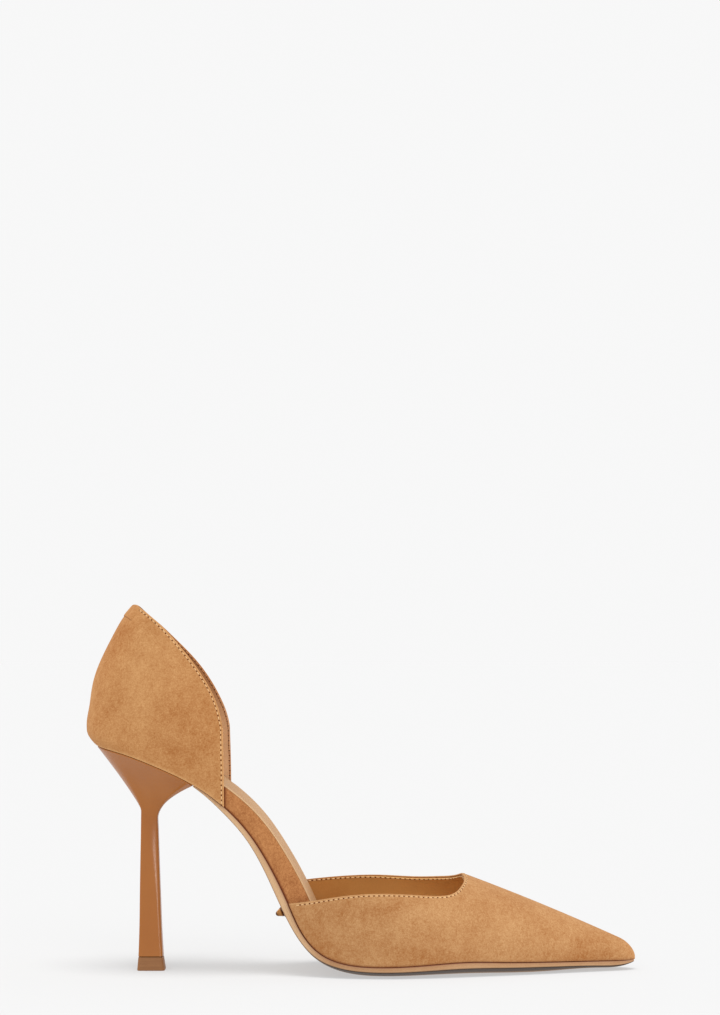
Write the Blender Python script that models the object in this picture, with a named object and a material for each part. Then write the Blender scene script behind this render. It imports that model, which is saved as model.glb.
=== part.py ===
"""A right d'Orsay pump on a stiletto heel.

The suede upper is in two parts, a vamp over the toes and a quarter round the heel, with the sides cut
away down to a suede-wrapped waist. Units are metres, +Z is up, +X points to the toe and +Y to the inner
side of the foot. The floor is at Z = 0 and X = 0 is the back of the feather edge, the line where the upper
meets the sole, until the whole shoe is centred. Table columns are millimetres unless they are percent.
"""

import math
from collections import namedtuple

import bmesh
import bpy
import numpy as np
from mathutils import Matrix, Vector

MM = 0.001
TINY = 1e-4  # step for slopes


def read(columns, rows):
    """One array for each named column of a table."""
    return dict(zip(columns.split(), np.array(rows, float).T))


# Driving dimensions of the shoe, a European size 38
LENGTH = 229.1 * MM  # feather edge, heel back to toe tip
BALL_WIDTH = 73.5 * MM  # across the joints at the feather edge
HEEL_HEIGHT = 96.7 * MM  # floor to the plane of the heel seat, at the heel back
INSTEP_HEIGHT = 40.7 * MM  # floor to the vamp's ridge at the throat
THROAT = 156.7 * MM  # heel back to the throat
VAMP_SLOPE = math.radians(22.5)  # the ridge's fall from the throat to the toe
VAMP_BOW = 0.4 * MM  # how far the ridge bows up half way to the toe
SEAT_TILT = math.radians(24.0)  # the heel seat's fall towards the waist
BREAST = 43.3 * MM  # heel back to the breast line, where the outsole meets the heel

# Thicknesses, and the clearance between pieces
WALL = 1.6 * MM  # suede with its lining
SOCK = 1.2 * MM  # sock leather over the wrapped waist
GAP = 0.3 * MM

# The last, one row for each section from the heel back to the toe tip.
# along is percent of the length, rise of the heel height and width of the ball width.
# swing moves the section to the inner side, bed is the footbed's height above the feather edge,
# and edge and belly are the outsole's thickness at its edge and what the middle has more.
LAST = read(
    "along rise width swing bed edge belly",
    [
        (0.0, 98.6, 0.0, 0.0, 5.0, 0.4, 0.0),
        (1.2, 97.8, 29.4, 0.0, 5.0, 0.4, 0.0),
        (5.0, 95.6, 52.8, 0.0, 5.0, 0.4, 0.0),
        (11.7, 90.0, 67.0, 0.0, 5.3, 0.4, 0.0),
        (18.2, 82.7, 68.0, -0.1, 6.4, 0.4, 0.0),
        (24.3, 72.4, 65.0, -0.4, 7.4, 1.8, 0.2),
        (28.4, 62.1, 62.0, -1.0, 8.1, 2.1, 0.4),
        (32.2, 48.4, 61.4, -1.3, 8.6, 2.5, 0.5),
        (36.1, 30.0, 66.0, -1.4, 9.2, 2.9, 0.6),
        (38.8, 17.4, 73.0, -1.2, 8.8, 2.2, 0.8),
        (42.0, 9.9, 82.4, -0.8, 7.4, 2.0, 1.6),
        (45.6, 6.5, 91.4, -0.3, 6.0, 1.7, 2.8),
        (51.4, 5.05, 99.6, 0.4, 4.8, 1.7, 3.5),
        (60.0, 5.5, 97.4, 1.2, 3.8, 1.9, 3.6),
        (68.8, 6.4, 83.8, 1.8, 2.8, 2.2, 3.8),
        (75.0, 5.8, 71.0, 2.0, 2.9, 1.9, 3.6),
        (82.0, 5.2, 55.0, 2.1, 3.0, 1.6, 3.2),
        (92.8, 4.65, 27.9, 1.9, 2.9, 1.7, 1.4),
        (98.0, 4.5, 14.7, 1.7, 3.0, 1.5, 0.6),
        (100.0, 4.5, 0.0, 1.6, 3.0, 0.4, 0.1),
    ],
)

# The vamp's top edge from its back corner to the throat: behind the throat, and above the floor
VAMP_RIM = {
    "lateral": read(
        "behind up",
        [
            (74.6, 30.1),
            (64.0, 31.8),
            (50.0, 34.2),
            (36.0, 35.0),
            (20.0, 34.2),
            (10.5, 33.6),
            (6.0, 34.1),
            (3.4, 35.4),
            (1.4, 37.3),
            (0.3, 39.0),
            (0.0, 40.7),
        ],
    ),
    "medial": read(
        "behind up",
        [
            (77.2, 35.2),
            (64.0, 36.4),
            (50.0, 37.3),
            (36.0, 37.6),
            (20.0, 37.2),
            (9.0, 37.6),
            (4.0, 38.3),
            (1.2, 39.6),
            (0.2, 40.4),
            (0.0, 40.7),
        ],
    ),
}
VAMP_ROUND = 1.9  # exponent of the vamp's cross-section, 2 for an ellipse
VAMP_BULGE = 0.055  # how far the sides swell over the feather edge, as a share of the half width
TOE_ROUND = 7.0 * MM  # length over which the ridge turns down at the tip
TOE_POWER = 2.4  # exponent of that turn
VAMP_END = 0.9965  # share q at which the toe's sections stop

# The quarter's wall above the seat: how far it stands outside the feather edge at the back and sides
COUNTER = read(
    "up back side",
    [
        (0.0, 0.0, 0.0),
        (1.8, 3.6, 0.3),
        (5.0, 6.4, 0.7),
        (8.5, 7.8, 0.9),
        (13.0, 8.9, 1.1),
        (21.0, 10.8, 0.6),
        (29.0, 11.9, -0.8),
        (37.0, 11.95, -2.8),
        (46.0, 11.5, -5.4),
        (55.0, 10.4, -8.4),
        (62.0, 8.1, -10.6),
    ],
)
# The quarter's top edge in the seat's frame: ahead of the heel back, and above the seat on each side
QUARTER_RIM = read(
    "ahead lateral medial",
    [
        (-10.1, 59.7, 59.7),
        (-5.6, 59.7, 59.4),
        (3.7, 57.2, 56.2),
        (14.0, 53.7, 52.5),
        (22.0, 50.3, 49.5),
        (32.9, 43.9, 43.3),
        (40.5, 37.9, 37.7),
        (49.8, 26.7, 26.9),
        (61.3, 0.0, 0.0),
    ],
)
QUARTER_FRONT = 56.2 * MM  # heel back to the foot of the quarter's front edge
FRONT_EDGE = 26.7 * MM  # height of the straight front edge, below where it bends into the top edge
ROW_CROWDING = 1.25  # draws the wall's rows together near its foot

# The overlay that finishes the back seam at the top edge
TAB_HALF_WIDTH = 6.0 * MM
TAB_LENGTH = 6.5 * MM
TAB_THICKNESS = 0.5 * MM

# The waist's suede wrap lies between the quarter and the vamp, with both ends tucked in
WRAP_BACK = 40.0 * MM  # from the heel back
WRAP_FRONT = 104.0 * MM
WRAP_TAPER = 12.0 * MM
WRAP_TIP = 0.6 * MM  # thickness left at the tucked ends
WRAP_STEP = 1.0 * MM  # length over which the insole steps up on to a tucked end

# The outsole's outline lies inside the upper's at the waist and at the toe
SOLE_INSET_WAIST = 1.5 * MM
SOLE_INSET_TOE = 0.5 * MM
SOLE_WAIST_END = (78.0 * MM, 104.0 * MM)  # from the heel back, where the waist's inset fades out
SOLE_TOE_START = 198.0 * MM
BELLY_POWER = 4  # a high power keeps the sole flat across and lifts only its edges

SOLE_END = 0.992  # shares q of the layers' first and last sections
INSOLE_ENDS = (0.03, 0.93)

# The heel's stem above the top piece: its back and front from the heel back, and its half width
STEM = read(
    "up back front half_width",
    [
        (6.0, 18.5, 29.2, 4.9),
        (15.0, 18.8, 28.7, 4.6),
        (30.0, 19.0, 28.1, 4.2),
        (46.0, 19.2, 27.5, 4.0),
        (58.0, 19.4, 27.1, 4.0),
        (64.0, 19.5, 26.9, 4.1),
    ],
)
SQUARENESS = 5.0  # exponent of the stem's cross-section
NECK_RISE = 3.5 * MM  # the stem ends this much higher at its back
# The cup above the stem opens along power curves: 1 is straight, more is hollow
CUP_POWER = {"back": 1.12, "side": 1.5, "front": 2.2}
CUP_LEVELS = (0.05, 0.12, 0.2, 0.3, 0.42, 0.55, 0.7, 0.85, 1.0)
CUP_INSET = 0.8 * MM
LIP = 1.7 * MM  # height of the cup's straight lip
LIP_INSET = 0.8 * MM  # the lip's foot lies this far inside its top
TOP_PIECE_HEIGHT = 5.7 * MM
TOP_PIECE_FLARE = 0.4 * MM  # the top piece's foot stands out this far
RING = 36  # points round the heel and the top piece
BREAST_POINTS = 4  # of these, along half the breast line

# The plain stud in the middle of the waist, under the sole
STUD_AT = 83.8 * MM  # from the heel back
STUD_RADIUS = 2.6 * MM
STUD_TIP_RADIUS = 0.7 * MM
STUD_HEIGHT = 3.8 * MM
STUD_SIDES = 16

SUEDE = {"colour": (0.55, 0.29, 0.12), "roughness": 0.95}
SOLE_LEATHER = {"colour": (0.56, 0.35, 0.19), "roughness": 0.55}
SOCK_LEATHER = {"colour": (0.62, 0.44, 0.30), "roughness": 0.5}
HEEL_COVER = {"colour": (0.40, 0.16, 0.055), "roughness": 0.3}
HEEL_RUBBER = {"colour": (0.29, 0.13, 0.06), "roughness": 0.6}
STUD_BRASS = {"colour": (0.55, 0.36, 0.16), "roughness": 0.35, "metallic": 1.0}

Station = namedtuple("Station", "x z nx nz half swing bed edge belly")


def spline(knots, values):
    """A natural cubic spline through the values, as a function."""
    step = np.diff(knots)
    slope = np.diff(values) / step
    count = len(knots)
    matrix = np.eye(count)
    right = np.zeros(count)
    for i in range(1, count - 1):
        matrix[i, i - 1 : i + 2] = step[i - 1], 2 * (step[i - 1] + step[i]), step[i]
        right[i] = 6 * (slope[i] - slope[i - 1])
    bend = np.linalg.solve(matrix, right)

    def value(at):
        i = int(np.clip(np.searchsorted(knots, at) - 1, 0, count - 2))
        a, b, h = knots[i + 1] - at, at - knots[i], step[i]
        curve = (bend[i] * a**3 + bend[i + 1] * b**3) / (6 * h)
        return curve + (values[i] / h - bend[i] * h / 6) * a + (values[i + 1] / h - bend[i + 1] * h / 6) * b

    return value


def travel(*columns):
    """Distance along the points whose coordinates are the columns."""
    lengths = np.sqrt(sum(np.diff(column) ** 2 for column in columns))
    return np.concatenate([[0.0], np.cumsum(lengths)])


def ramp(x, start, end):
    """0 before start, 1 after end, and smooth between."""
    t = min(max((x - start) / (end - start), 0.0), 1.0)
    return t * t * (3 - 2 * t)


# The feather edge seen from the side, as curves of the distance along it
LAST_X = LAST["along"] / 100 * LENGTH
LAST_Z = LAST["rise"] / 100 * HEEL_HEIGHT
LAST_S = travel(LAST_X, LAST_Z)
profile_x = spline(LAST_S, LAST_X)
profile_z = spline(LAST_S, LAST_Z)
section_curves = [spline(LAST_S, LAST[name] * MM) for name in ("swing", "bed", "edge", "belly")]


def distance(q):
    """Distance along the profile at share q, which crowds towards both ends and so rounds the outline."""
    return LAST_S[-1] * (1 - math.cos(math.pi * q)) / 2


LAST_Q = np.arccos(1 - 2 * LAST_S / LAST_S[-1]) / math.pi
half_width = spline(LAST_Q, LAST["width"] / 200 * BALL_WIDTH)
Q_SAMPLES = np.linspace(0, 1, 2001)
X_SAMPLES = np.array([profile_x(distance(q)) for q in Q_SAMPLES])


def q_at(x):
    """The share q of the section that stands x from the heel back."""
    return float(np.interp(x, X_SAMPLES, Q_SAMPLES))


def outline_turn(q):
    """Angle of the outline to the shoe's length: a right angle at the heel back, less than 0 to the toe."""
    run = distance(q + TINY) - distance(q - TINY)
    widening = half_width(q + TINY) - half_width(q - TINY)
    return math.atan2(widening, run)


def station(q, inset=0.0):
    """The last's section at q, with its outline drawn in by inset."""
    turn = outline_turn(q)
    s = distance(q) + inset * math.sin(turn)
    dx = profile_x(s + TINY) - profile_x(s - TINY)
    dz = profile_z(s + TINY) - profile_z(s - TINY)
    length = math.hypot(dx, dz)
    half = half_width(q) - inset * math.cos(turn)
    rest = [curve(s) for curve in section_curves]
    return Station(profile_x(s), profile_z(s), -dz / length, dx / length, half, *rest)


def off_edge(at, share, up):
    """A point of a section: share runs from -1, lateral, to 1, medial, and up is along its normal."""
    return Vector((at.x + at.nx * up, at.swing + share * at.half, at.z + at.nz * up))


def add_object(name, bm, material):
    """The bmesh as a named object of the shoe."""
    bmesh.ops.recalc_face_normals(bm, faces=bm.faces)
    mesh = bpy.data.meshes.new(name)
    bm.to_mesh(mesh)
    bm.free()
    mesh.shade_smooth()
    mesh.set_sharp_from_angle(angle=math.radians(35))
    mesh.materials.append(material)
    made = bpy.data.objects.new(name, mesh)
    bpy.context.scene.collection.objects.link(made)
    made.parent = SHOE
    return made


def bridge(bm, rows, closed):
    """Faces between neighbouring rows of points. Returns the rows' vertices."""
    made = [[bm.verts.new(point) for point in row] for row in rows]
    for near, far in zip(made, made[1:]):
        count = len(near)
        for i in range(count if closed else count - 1):
            j = (i + 1) % count
            bm.faces.new((near[i], near[j], far[j], far[i]))
    return made


def loft(name, rings, material):
    """A closed solid through rings. Each end is closed across, first point to last and so on."""
    bm = bmesh.new()
    made = bridge(bm, rings, closed=True)
    for ring in (made[0], made[-1]):
        for i in range(len(ring) // 2 - 1):
            bm.faces.new((ring[i], ring[i + 1], ring[-2 - i], ring[-1 - i]))
    return add_object(name, bm, material)


def wall(name, lines, thickness, outwards, material, tip=False):
    """A sheet through lines of points, made solid. With tip, the lines' far ends are closed across."""
    bm = bmesh.new()
    made = bridge(bm, lines, closed=False)
    if tip:
        bm.faces.new([line[-1] for line in made])
    sheet = add_object(name, bm, material)
    solid = sheet.modifiers.new("thickness", "SOLIDIFY")
    solid.thickness = thickness
    solid.offset = outwards
    solid.use_even_offset = True
    solid.use_quality_normals = True
    return sheet


def layer(name, qs, inset, low, high, material, across=9):
    """A layer along the last's bottom between two heights, each a function of section and share."""
    shares = np.linspace(-1, 1, across)
    rings = []
    for q in qs:
        at = station(q, inset(q))
        under = [off_edge(at, share, low(at, share)) for share in shares]
        over = [off_edge(at, share, high(at, share)) for share in shares]
        for point in under:
            point.z = max(point.z, 0.0)
        rings.append(under + over[::-1])
    return loft(name, rings, material)


def outsole(material):
    """Leather sole from the breast line to the toe, flat on the floor under the ball."""

    def inset(q):
        x = profile_x(distance(q))
        waist = SOLE_INSET_WAIST * (1 - ramp(x, *SOLE_WAIST_END))
        return waist + SOLE_INSET_TOE * ramp(x, SOLE_TOE_START, LENGTH)

    def low(at, share):
        return -GAP - at.edge - at.belly * (1 - share**BELLY_POWER)

    def high(_at, _share):
        return -GAP

    qs = np.linspace(q_at(BREAST - CUP_INSET + GAP), SOLE_END, 42)
    return layer("outsole", qs, inset, low, high, material, across=11)


def wrap_height(at):
    """Top of the waist wrap above the feather edge, thinning out to both tucked ends, or 0 for none."""
    if not WRAP_BACK - WRAP_STEP / 2 < at.x < WRAP_FRONT + WRAP_STEP / 2:
        return 0.0
    from_back = ramp(at.x, WRAP_BACK, WRAP_BACK + WRAP_TAPER)
    from_front = 1 - ramp(at.x, WRAP_FRONT - WRAP_TAPER, WRAP_FRONT)
    return WRAP_TIP + (at.bed - SOCK - GAP - WRAP_TIP) * min(from_back, from_front)


def wrap_stations():
    """Shares q of the wrap's sections."""
    return np.linspace(q_at(WRAP_BACK), q_at(WRAP_FRONT), 22)


def waist_wrap(material):
    """Suede-covered waist between the outsole and the sock."""

    def inset(_q):
        return WALL + GAP

    def low(_at, _share):
        return 0.0

    def high(at, _share):
        return wrap_height(at)

    return layer("waist_wrap", wrap_stations(), inset, low, high, material)


def insole(material):
    """Footbed inside the upper: one layer that thins to the sock where it lies on the wrap."""

    def inset(_q):
        return WALL + 2 * GAP

    def low(at, _share):
        height = wrap_height(at)
        return height + GAP if height else 0.0

    def high(at, _share):
        return at.bed

    behind = np.linspace(INSOLE_ENDS[0], q_at(WRAP_BACK - WRAP_STEP), 12)
    ahead = np.linspace(q_at(WRAP_FRONT + WRAP_STEP), INSOLE_ENDS[1], 18)
    return layer("insole", [*behind, *wrap_stations(), *ahead], inset, low, high, material)


def ridge(at):
    """Height of the vamp's ridge over a section, turning down to the feather edge at the tip."""
    share = min(max((at.x - THROAT) / (LENGTH - THROAT), 0.0), 1.0)
    top = INSTEP_HEIGHT + math.tan(VAMP_SLOPE) * (THROAT - at.x) + VAMP_BOW * 4 * share * (1 - share)
    left = min(max(LENGTH - at.x, 0.0) / TOE_ROUND, 1.0)
    return at.z + (top - at.z) * (1 - (1 - left) ** TOE_POWER) ** (1 / TOE_POWER)


def vamp_point(q, lift, side):
    """The vamp's outer surface: lift runs from 0 at the feather edge to 1 on the ridge, side is -1 or 1."""
    at = station(q)
    across = max(1 - lift**VAMP_ROUND, 0.0) ** (1 / VAMP_ROUND)
    swell = VAMP_BULGE * 4 * lift * across
    return Vector((at.x, at.swing + side * at.half * (across + swell), at.z + (ridge(at) - at.z) * lift))


def rim_starts(column, samples=200):
    """Where the vamp's lines leave the top edge of one side: q and lift, from the corner to the ridge."""
    rim = VAMP_RIM[column]
    knots = travel(rim["behind"], rim["up"])
    behind, up = (spline(knots, rim[name] * MM) for name in ("behind", "up"))
    starts = []
    for knot in np.linspace(0, knots[-1], samples):
        at = station(q_at(THROAT - behind(knot)))
        lift = (up(knot) - at.z) / (ridge(at) - at.z)
        starts.append((q_at(at.x), min(max(lift, 0.0), 1.0)))
    return starts


def vamp_lines(column, side, count, steps):
    """Lines of the vamp from evenly spaced points of its top edge to the toe tip."""
    starts = rim_starts(column)
    edge = np.array([vamp_point(q, lift, side) for q, lift in starts])
    along = travel(*edge.T)
    lines = []
    for target in np.linspace(0, along[-1], count):
        q, lift = (np.interp(target, along, values) for values in zip(*starts))
        lines.append([vamp_point(q, lift, side) for q in np.linspace(q, VAMP_END, steps)])
    return lines


def vamp(material):
    """Front of the upper: a hollow shell from the waist to the toe, open at the throat and underneath."""
    lateral = vamp_lines("lateral", -1, 19, 25)
    medial = vamp_lines("medial", 1, 19, 25)
    return wall("vamp", lateral + medial[-2::-1], WALL, -1, material, tip=True)


counter_back = spline(COUNTER["up"] * MM, COUNTER["back"] * MM)
counter_side = spline(COUNTER["up"] * MM, COUNTER["side"] * MM)
quarter_rims = [spline(QUARTER_RIM["ahead"] * MM, QUARTER_RIM[name] * MM) for name in ("lateral", "medial")]
SEAT_AHEAD = Vector((math.cos(SEAT_TILT), 0, -math.sin(SEAT_TILT)))
SEAT_UP = Vector((math.sin(SEAT_TILT), 0, math.cos(SEAT_TILT)))
HEEL_BACK = Vector((0, 0, HEEL_HEIGHT))


def quarter_point(k, up, proud=0.0):
    """The quarter's outer surface: k is q, below 0 on the lateral side, and up is normal to the seat."""
    q, side = abs(k), math.copysign(1, k)
    backward, sideways = math.sin(outline_turn(q)), math.cos(outline_turn(q))
    stand = proud + counter_back(up) * backward**2 + counter_side(up) * sideways**2
    foot = off_edge(station(q), side, 0.0)
    return foot + SEAT_UP * up + (Vector((0, side * sideways, 0)) - SEAT_AHEAD * backward) * stand


def rim_height(k):
    """How far up the quarter's wall meets its top edge at k."""
    rim = quarter_rims[1 if k > 0 else 0]
    low, high = 0.0, COUNTER["up"][-1] * MM
    for _ in range(40):
        up = (low + high) / 2
        from_back = quarter_point(k, up) - HEEL_BACK
        if from_back.dot(SEAT_UP) < rim(from_back.dot(SEAT_AHEAD)):
            low = up
        else:
            high = up
    return low


def quarter_column(foot_k, top_k, steps):
    """Points up the wall, from the feather edge to the top edge."""
    top = rim_height(top_k)
    shares = np.linspace(0, 1, steps) ** ROW_CROWDING
    return [quarter_point(foot_k + (top_k - foot_k) * share, top * share) for share in shares]


def front_edge_top():
    """The share q whose wall reaches the bend between the front edge and the top edge."""
    candidates = [q for q in Q_SAMPLES if q_at(BREAST) < q < q_at(QUARTER_FRONT)]
    return min(candidates, key=lambda q: abs(rim_height(q) - FRONT_EDGE))


def quarter(material):
    """Back of the upper: a hollow wall round the heel, open above, in front and underneath."""
    shares = np.linspace(-1, 1, 35)
    feet, tops = shares * q_at(QUARTER_FRONT), shares * front_edge_top()
    columns = [quarter_column(foot, top, 12) for foot, top in zip(feet, tops)]
    return wall("quarter", columns, WALL, -1, material)


def back_tab(material):
    """Small overlay at the top of the back, lying on the quarter's wall."""
    reach = next(q for q in Q_SAMPLES if half_width(q) > TAB_HALF_WIDTH)
    columns = []
    for k in np.linspace(-reach, reach, 9):
        top = rim_height(k)
        columns.append([quarter_point(k, up, GAP) for up in np.linspace(top - TAB_LENGTH, top, 5)])
    return wall("back_tab", columns, TAB_THICKNESS, 1, material)


def squared_ring(back, front, half, z, grow=0.0):
    """A level ring with rounded corners, from the middle of the back round the lateral side and on."""
    centre, reach = (back + front) / 2, (front - back) / 2 + grow
    points = []
    for i in range(RING):
        angle = math.pi * (2 * i + 1) / RING
        c, s = -math.cos(angle), -math.sin(angle)
        x = centre + reach * math.copysign(abs(c) ** (2 / SQUARENESS), c)
        y = (half + grow) * math.copysign(abs(s) ** (2 / SQUARENESS), s)
        points.append(Vector((x, y, z)))
    return points


def seat_ring(inset, drop):
    """The last's outline from the back to the breast line and straight across, lowered by drop."""
    side_points = RING // 2 - BREAST_POINTS
    lateral = []
    for i in range(RING // 2):
        q = q_at(BREAST - inset) * min((i + 0.5) / side_points, 1.0)
        inwards = max(i + 1 - side_points, 0) / (BREAST_POINTS + 0.5)
        lateral.append(off_edge(station(q, inset), inwards - 1, -drop))
    return lateral + [Vector((p.x, -p.y, p.z)) for p in reversed(lateral)]


def heel(material):
    """Covered stiletto heel: a squared stem that opens into a cup under the seat."""
    stem = [STEM[name] * MM for name in ("back", "front", "half_width", "up")]
    rings = [squared_ring(*row) for row in zip(*stem)]
    back, front = STEM["back"][-1] * MM, STEM["front"][-1] * MM
    for point in rings[-1]:
        point.z += NECK_RISE * (front - point.x) / (front - back)
    neck, lip = rings[-1], seat_ring(CUP_INSET + LIP_INSET, GAP + LIP)
    for level in CUP_LEVELS:
        ring = []
        for i, (low, high) in enumerate(zip(neck, lip)):
            along = math.cos(math.pi * (2 * i + 1) / RING)
            end = CUP_POWER["back" if along > 0 else "front"]
            power = CUP_POWER["side"] + (end - CUP_POWER["side"]) * along**2
            point = low.lerp(high, level**power)
            point.z = low.z + (high.z - low.z) * level
            ring.append(point)
        rings.append(ring)
    rings.append(seat_ring(CUP_INSET, GAP))
    return loft("heel", rings, material)


def top_piece(material):
    """Block under the stem that takes the wear, flat on the floor."""
    back, front, half = (STEM[name][0] * MM for name in ("back", "front", "half_width"))
    foot = squared_ring(back, front, half, 0.0, TOP_PIECE_FLARE)
    return loft("top_piece", [foot, squared_ring(back, front, half, TOP_PIECE_HEIGHT)], material)


def sole_stud(material):
    """Plain round stud set under the waist."""
    at = station(q_at(STUD_AT))
    out = -Vector((at.nx, 0, at.nz))
    middle = off_edge(at, 0.0, -2 * GAP - at.edge - at.belly) + out * STUD_HEIGHT / 2
    bm = bmesh.new()
    bmesh.ops.create_cone(
        bm,
        cap_ends=True,
        segments=STUD_SIDES,
        radius1=STUD_RADIUS,
        radius2=STUD_TIP_RADIUS,
        depth=STUD_HEIGHT,
        matrix=Matrix.Translation(middle) @ out.to_track_quat("Z", "Y").to_matrix().to_4x4(),
    )
    return add_object("sole_stud", bm, material)


def finish(name, colour, roughness, metallic=0.0):
    """A material with the piece's colour, roughness and metallic value."""
    made = bpy.data.materials.new(name)
    made.use_nodes = True
    shader = made.node_tree.nodes["Principled BSDF"]
    shader.inputs["Base Color"].default_value = (*colour, 1.0)
    shader.inputs["Roughness"].default_value = roughness
    shader.inputs["Metallic"].default_value = metallic
    return made


def centre_on_floor(pieces):
    """Moves the shoe so that its box stands centred over the origin."""
    bpy.context.view_layer.update()
    graph = bpy.context.evaluated_depsgraph_get()
    corners = np.array([corner[:] for piece in pieces for corner in piece.evaluated_get(graph).bound_box])
    middle = (corners.min(0) + corners.max(0)) / 2
    SHOE.location = (-middle[0], -middle[1], 0.0)


for old in list(bpy.data.objects):
    bpy.data.objects.remove(old)
SHOE = bpy.data.objects.new("shoe", None)
bpy.context.scene.collection.objects.link(SHOE)
centre_on_floor(
    [
        outsole(finish("outsole_leather", **SOLE_LEATHER)),
        waist_wrap(finish("wrap_suede", **SUEDE)),
        insole(finish("insole_leather", **SOCK_LEATHER)),
        vamp(finish("vamp_suede", **SUEDE)),
        quarter(finish("quarter_suede", **SUEDE)),
        back_tab(finish("tab_suede", **SUEDE)),
        heel(finish("heel_cover", **HEEL_COVER)),
        top_piece(finish("top_piece_rubber", **HEEL_RUBBER)),
        sole_stud(finish("stud_brass", **STUD_BRASS)),
    ]
)
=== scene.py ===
"""The finished look of a right d'Orsay pump in tan suede, built around the frame of its solids.

Lengths are metres. Table columns are millimetres, or percent and shares where a comment says so. Shapes are
worked out with X = 0 at the back of the feather edge, the line where the upper meets the sole, +X to the toe
and +Y to the inner side of the foot, and are then set in the frame.
"""

import math
from collections import namedtuple

import bmesh
import bpy
import numpy as np
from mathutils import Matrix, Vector


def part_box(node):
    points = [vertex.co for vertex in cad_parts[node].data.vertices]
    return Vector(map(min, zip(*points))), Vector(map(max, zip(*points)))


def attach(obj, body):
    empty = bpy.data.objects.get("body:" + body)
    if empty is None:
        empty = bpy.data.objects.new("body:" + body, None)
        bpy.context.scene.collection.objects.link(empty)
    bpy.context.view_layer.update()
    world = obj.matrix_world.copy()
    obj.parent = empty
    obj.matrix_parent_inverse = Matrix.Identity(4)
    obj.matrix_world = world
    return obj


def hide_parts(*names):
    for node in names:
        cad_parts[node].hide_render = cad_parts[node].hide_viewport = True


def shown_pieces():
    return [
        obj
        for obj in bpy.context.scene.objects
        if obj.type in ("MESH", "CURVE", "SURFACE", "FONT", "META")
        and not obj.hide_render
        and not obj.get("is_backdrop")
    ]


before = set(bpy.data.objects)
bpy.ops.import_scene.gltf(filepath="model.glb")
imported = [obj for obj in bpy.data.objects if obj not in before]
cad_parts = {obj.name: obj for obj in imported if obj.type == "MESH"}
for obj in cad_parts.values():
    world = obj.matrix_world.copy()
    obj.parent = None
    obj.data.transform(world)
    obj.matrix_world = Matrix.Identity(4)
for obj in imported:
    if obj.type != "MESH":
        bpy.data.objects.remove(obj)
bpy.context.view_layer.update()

# Insole: the board that the shoe is lasted on, lightly padded, with a thin beige sock leather glued on top.
# It has the outline of the last's bottom. Over the wrapped waist only the sock is left, and its edge shows.
MM = 0.001
TINY = 1e-4  # step for slopes
LENGTH = 229.1 * MM  # feather edge, heel back to toe tip
BALL_WIDTH = 73.5 * MM
HEEL_HEIGHT = 96.7 * MM  # the seat above the floor at the heel back, about
WALL = 1.6 * MM  # the upper with its lining
GAP = 0.3 * MM  # between neighbouring pieces
SOCK = 0.4 * MM  # thickness of the sock leather
SOCK_SEAM = 0.05 * MM  # between the sock and the wrap under it
SOCK_ROUND = 0.25 * MM  # rounding of the sock's edge
ROUND_MIDDLE = 0.3  # what a rounded edge lacks to its corner half way round, as a share of the radius
SOCK_DISH = 0.2 * MM  # how far the padding sinks in the middle
INSOLE_ENDS = (0.03, 0.93)  # shares q of the first and last section
INSOLE_SECTIONS = (40, 80, 60)  # behind, on and ahead of the wrap
INSOLE_SHARES = (-0.95, -0.85, -0.65, -0.35, 0.0, 0.35, 0.65, 0.85, 0.95)  # places across
LEATHER_GRAIN = 0.04 * MM  # height of smooth leather's grain
WRAP_BACK = 40.0 * MM  # the waist's wrap, from the heel back
WRAP_FRONT = 104.0 * MM
WRAP_TAPER = 12.0 * MM  # over which each end thins out
WRAP_TIP = 0.6 * MM  # height left at the ends
WRAP_STEP = 1.0 * MM  # from the ends to where the insole reaches down again
# The back of the feather edge in the frame, found from the toe tip and the middle of the stem
PLACE = np.array([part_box("vamp")[1].x - LENGTH, sum(corner.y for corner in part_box("top_piece")) / 2, 0.0])


def read(columns, rows):
    """One array for each named column of a table."""
    return dict(zip(columns.split(), np.array(rows, float).T))


# The last, one row for each section from the heel back to the toe tip.
# along is percent of the length, rise of the heel height and width of the ball width.
# swing moves the section to the inner side, bed is the footbed's height above the feather edge,
# and edge and belly are the outsole's thickness at its edge and what the middle has more.
LAST = read("along rise width swing bed edge belly", [
    (0.0, 98.6, 0.0, 0.0, 5.0, 0.4, 0.0),
    (1.2, 97.8, 29.4, 0.0, 5.0, 0.4, 0.0),
    (5.0, 95.6, 52.8, 0.0, 5.0, 0.4, 0.0),
    (11.7, 90.0, 67.0, 0.0, 5.3, 0.4, 0.0),
    (18.2, 82.7, 68.0, -0.1, 6.4, 0.4, 0.0),
    (24.3, 72.4, 65.0, -0.4, 7.4, 1.8, 0.2),
    (28.4, 62.1, 62.0, -1.0, 8.1, 2.1, 0.4),
    (32.2, 48.4, 61.4, -1.3, 8.6, 2.5, 0.5),
    (36.1, 30.0, 66.0, -1.4, 9.2, 2.9, 0.6),
    (38.8, 17.4, 73.0, -1.2, 8.8, 2.2, 0.8),
    (42.0, 9.9, 82.4, -0.8, 7.4, 2.2, 1.4),
    (45.6, 6.5, 91.4, -0.3, 6.0, 2.0, 2.5),
    (51.4, 5.05, 99.6, 0.4, 4.8, 2.0, 3.2),
    (60.0, 5.5, 97.4, 1.2, 3.8, 2.2, 3.3),
    (68.8, 6.4, 83.8, 1.8, 2.8, 2.5, 3.5),
    (75.0, 5.8, 71.0, 2.0, 2.9, 2.2, 3.3),
    (82.0, 5.2, 55.0, 2.1, 3.0, 1.9, 2.9),
    (92.8, 4.65, 27.9, 1.9, 2.9, 1.9, 1.2),
    (98.0, 4.5, 14.7, 1.7, 3.0, 1.5, 0.6),
    (100.0, 4.5, 0.0, 1.6, 3.0, 0.4, 0.1),
])
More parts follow.
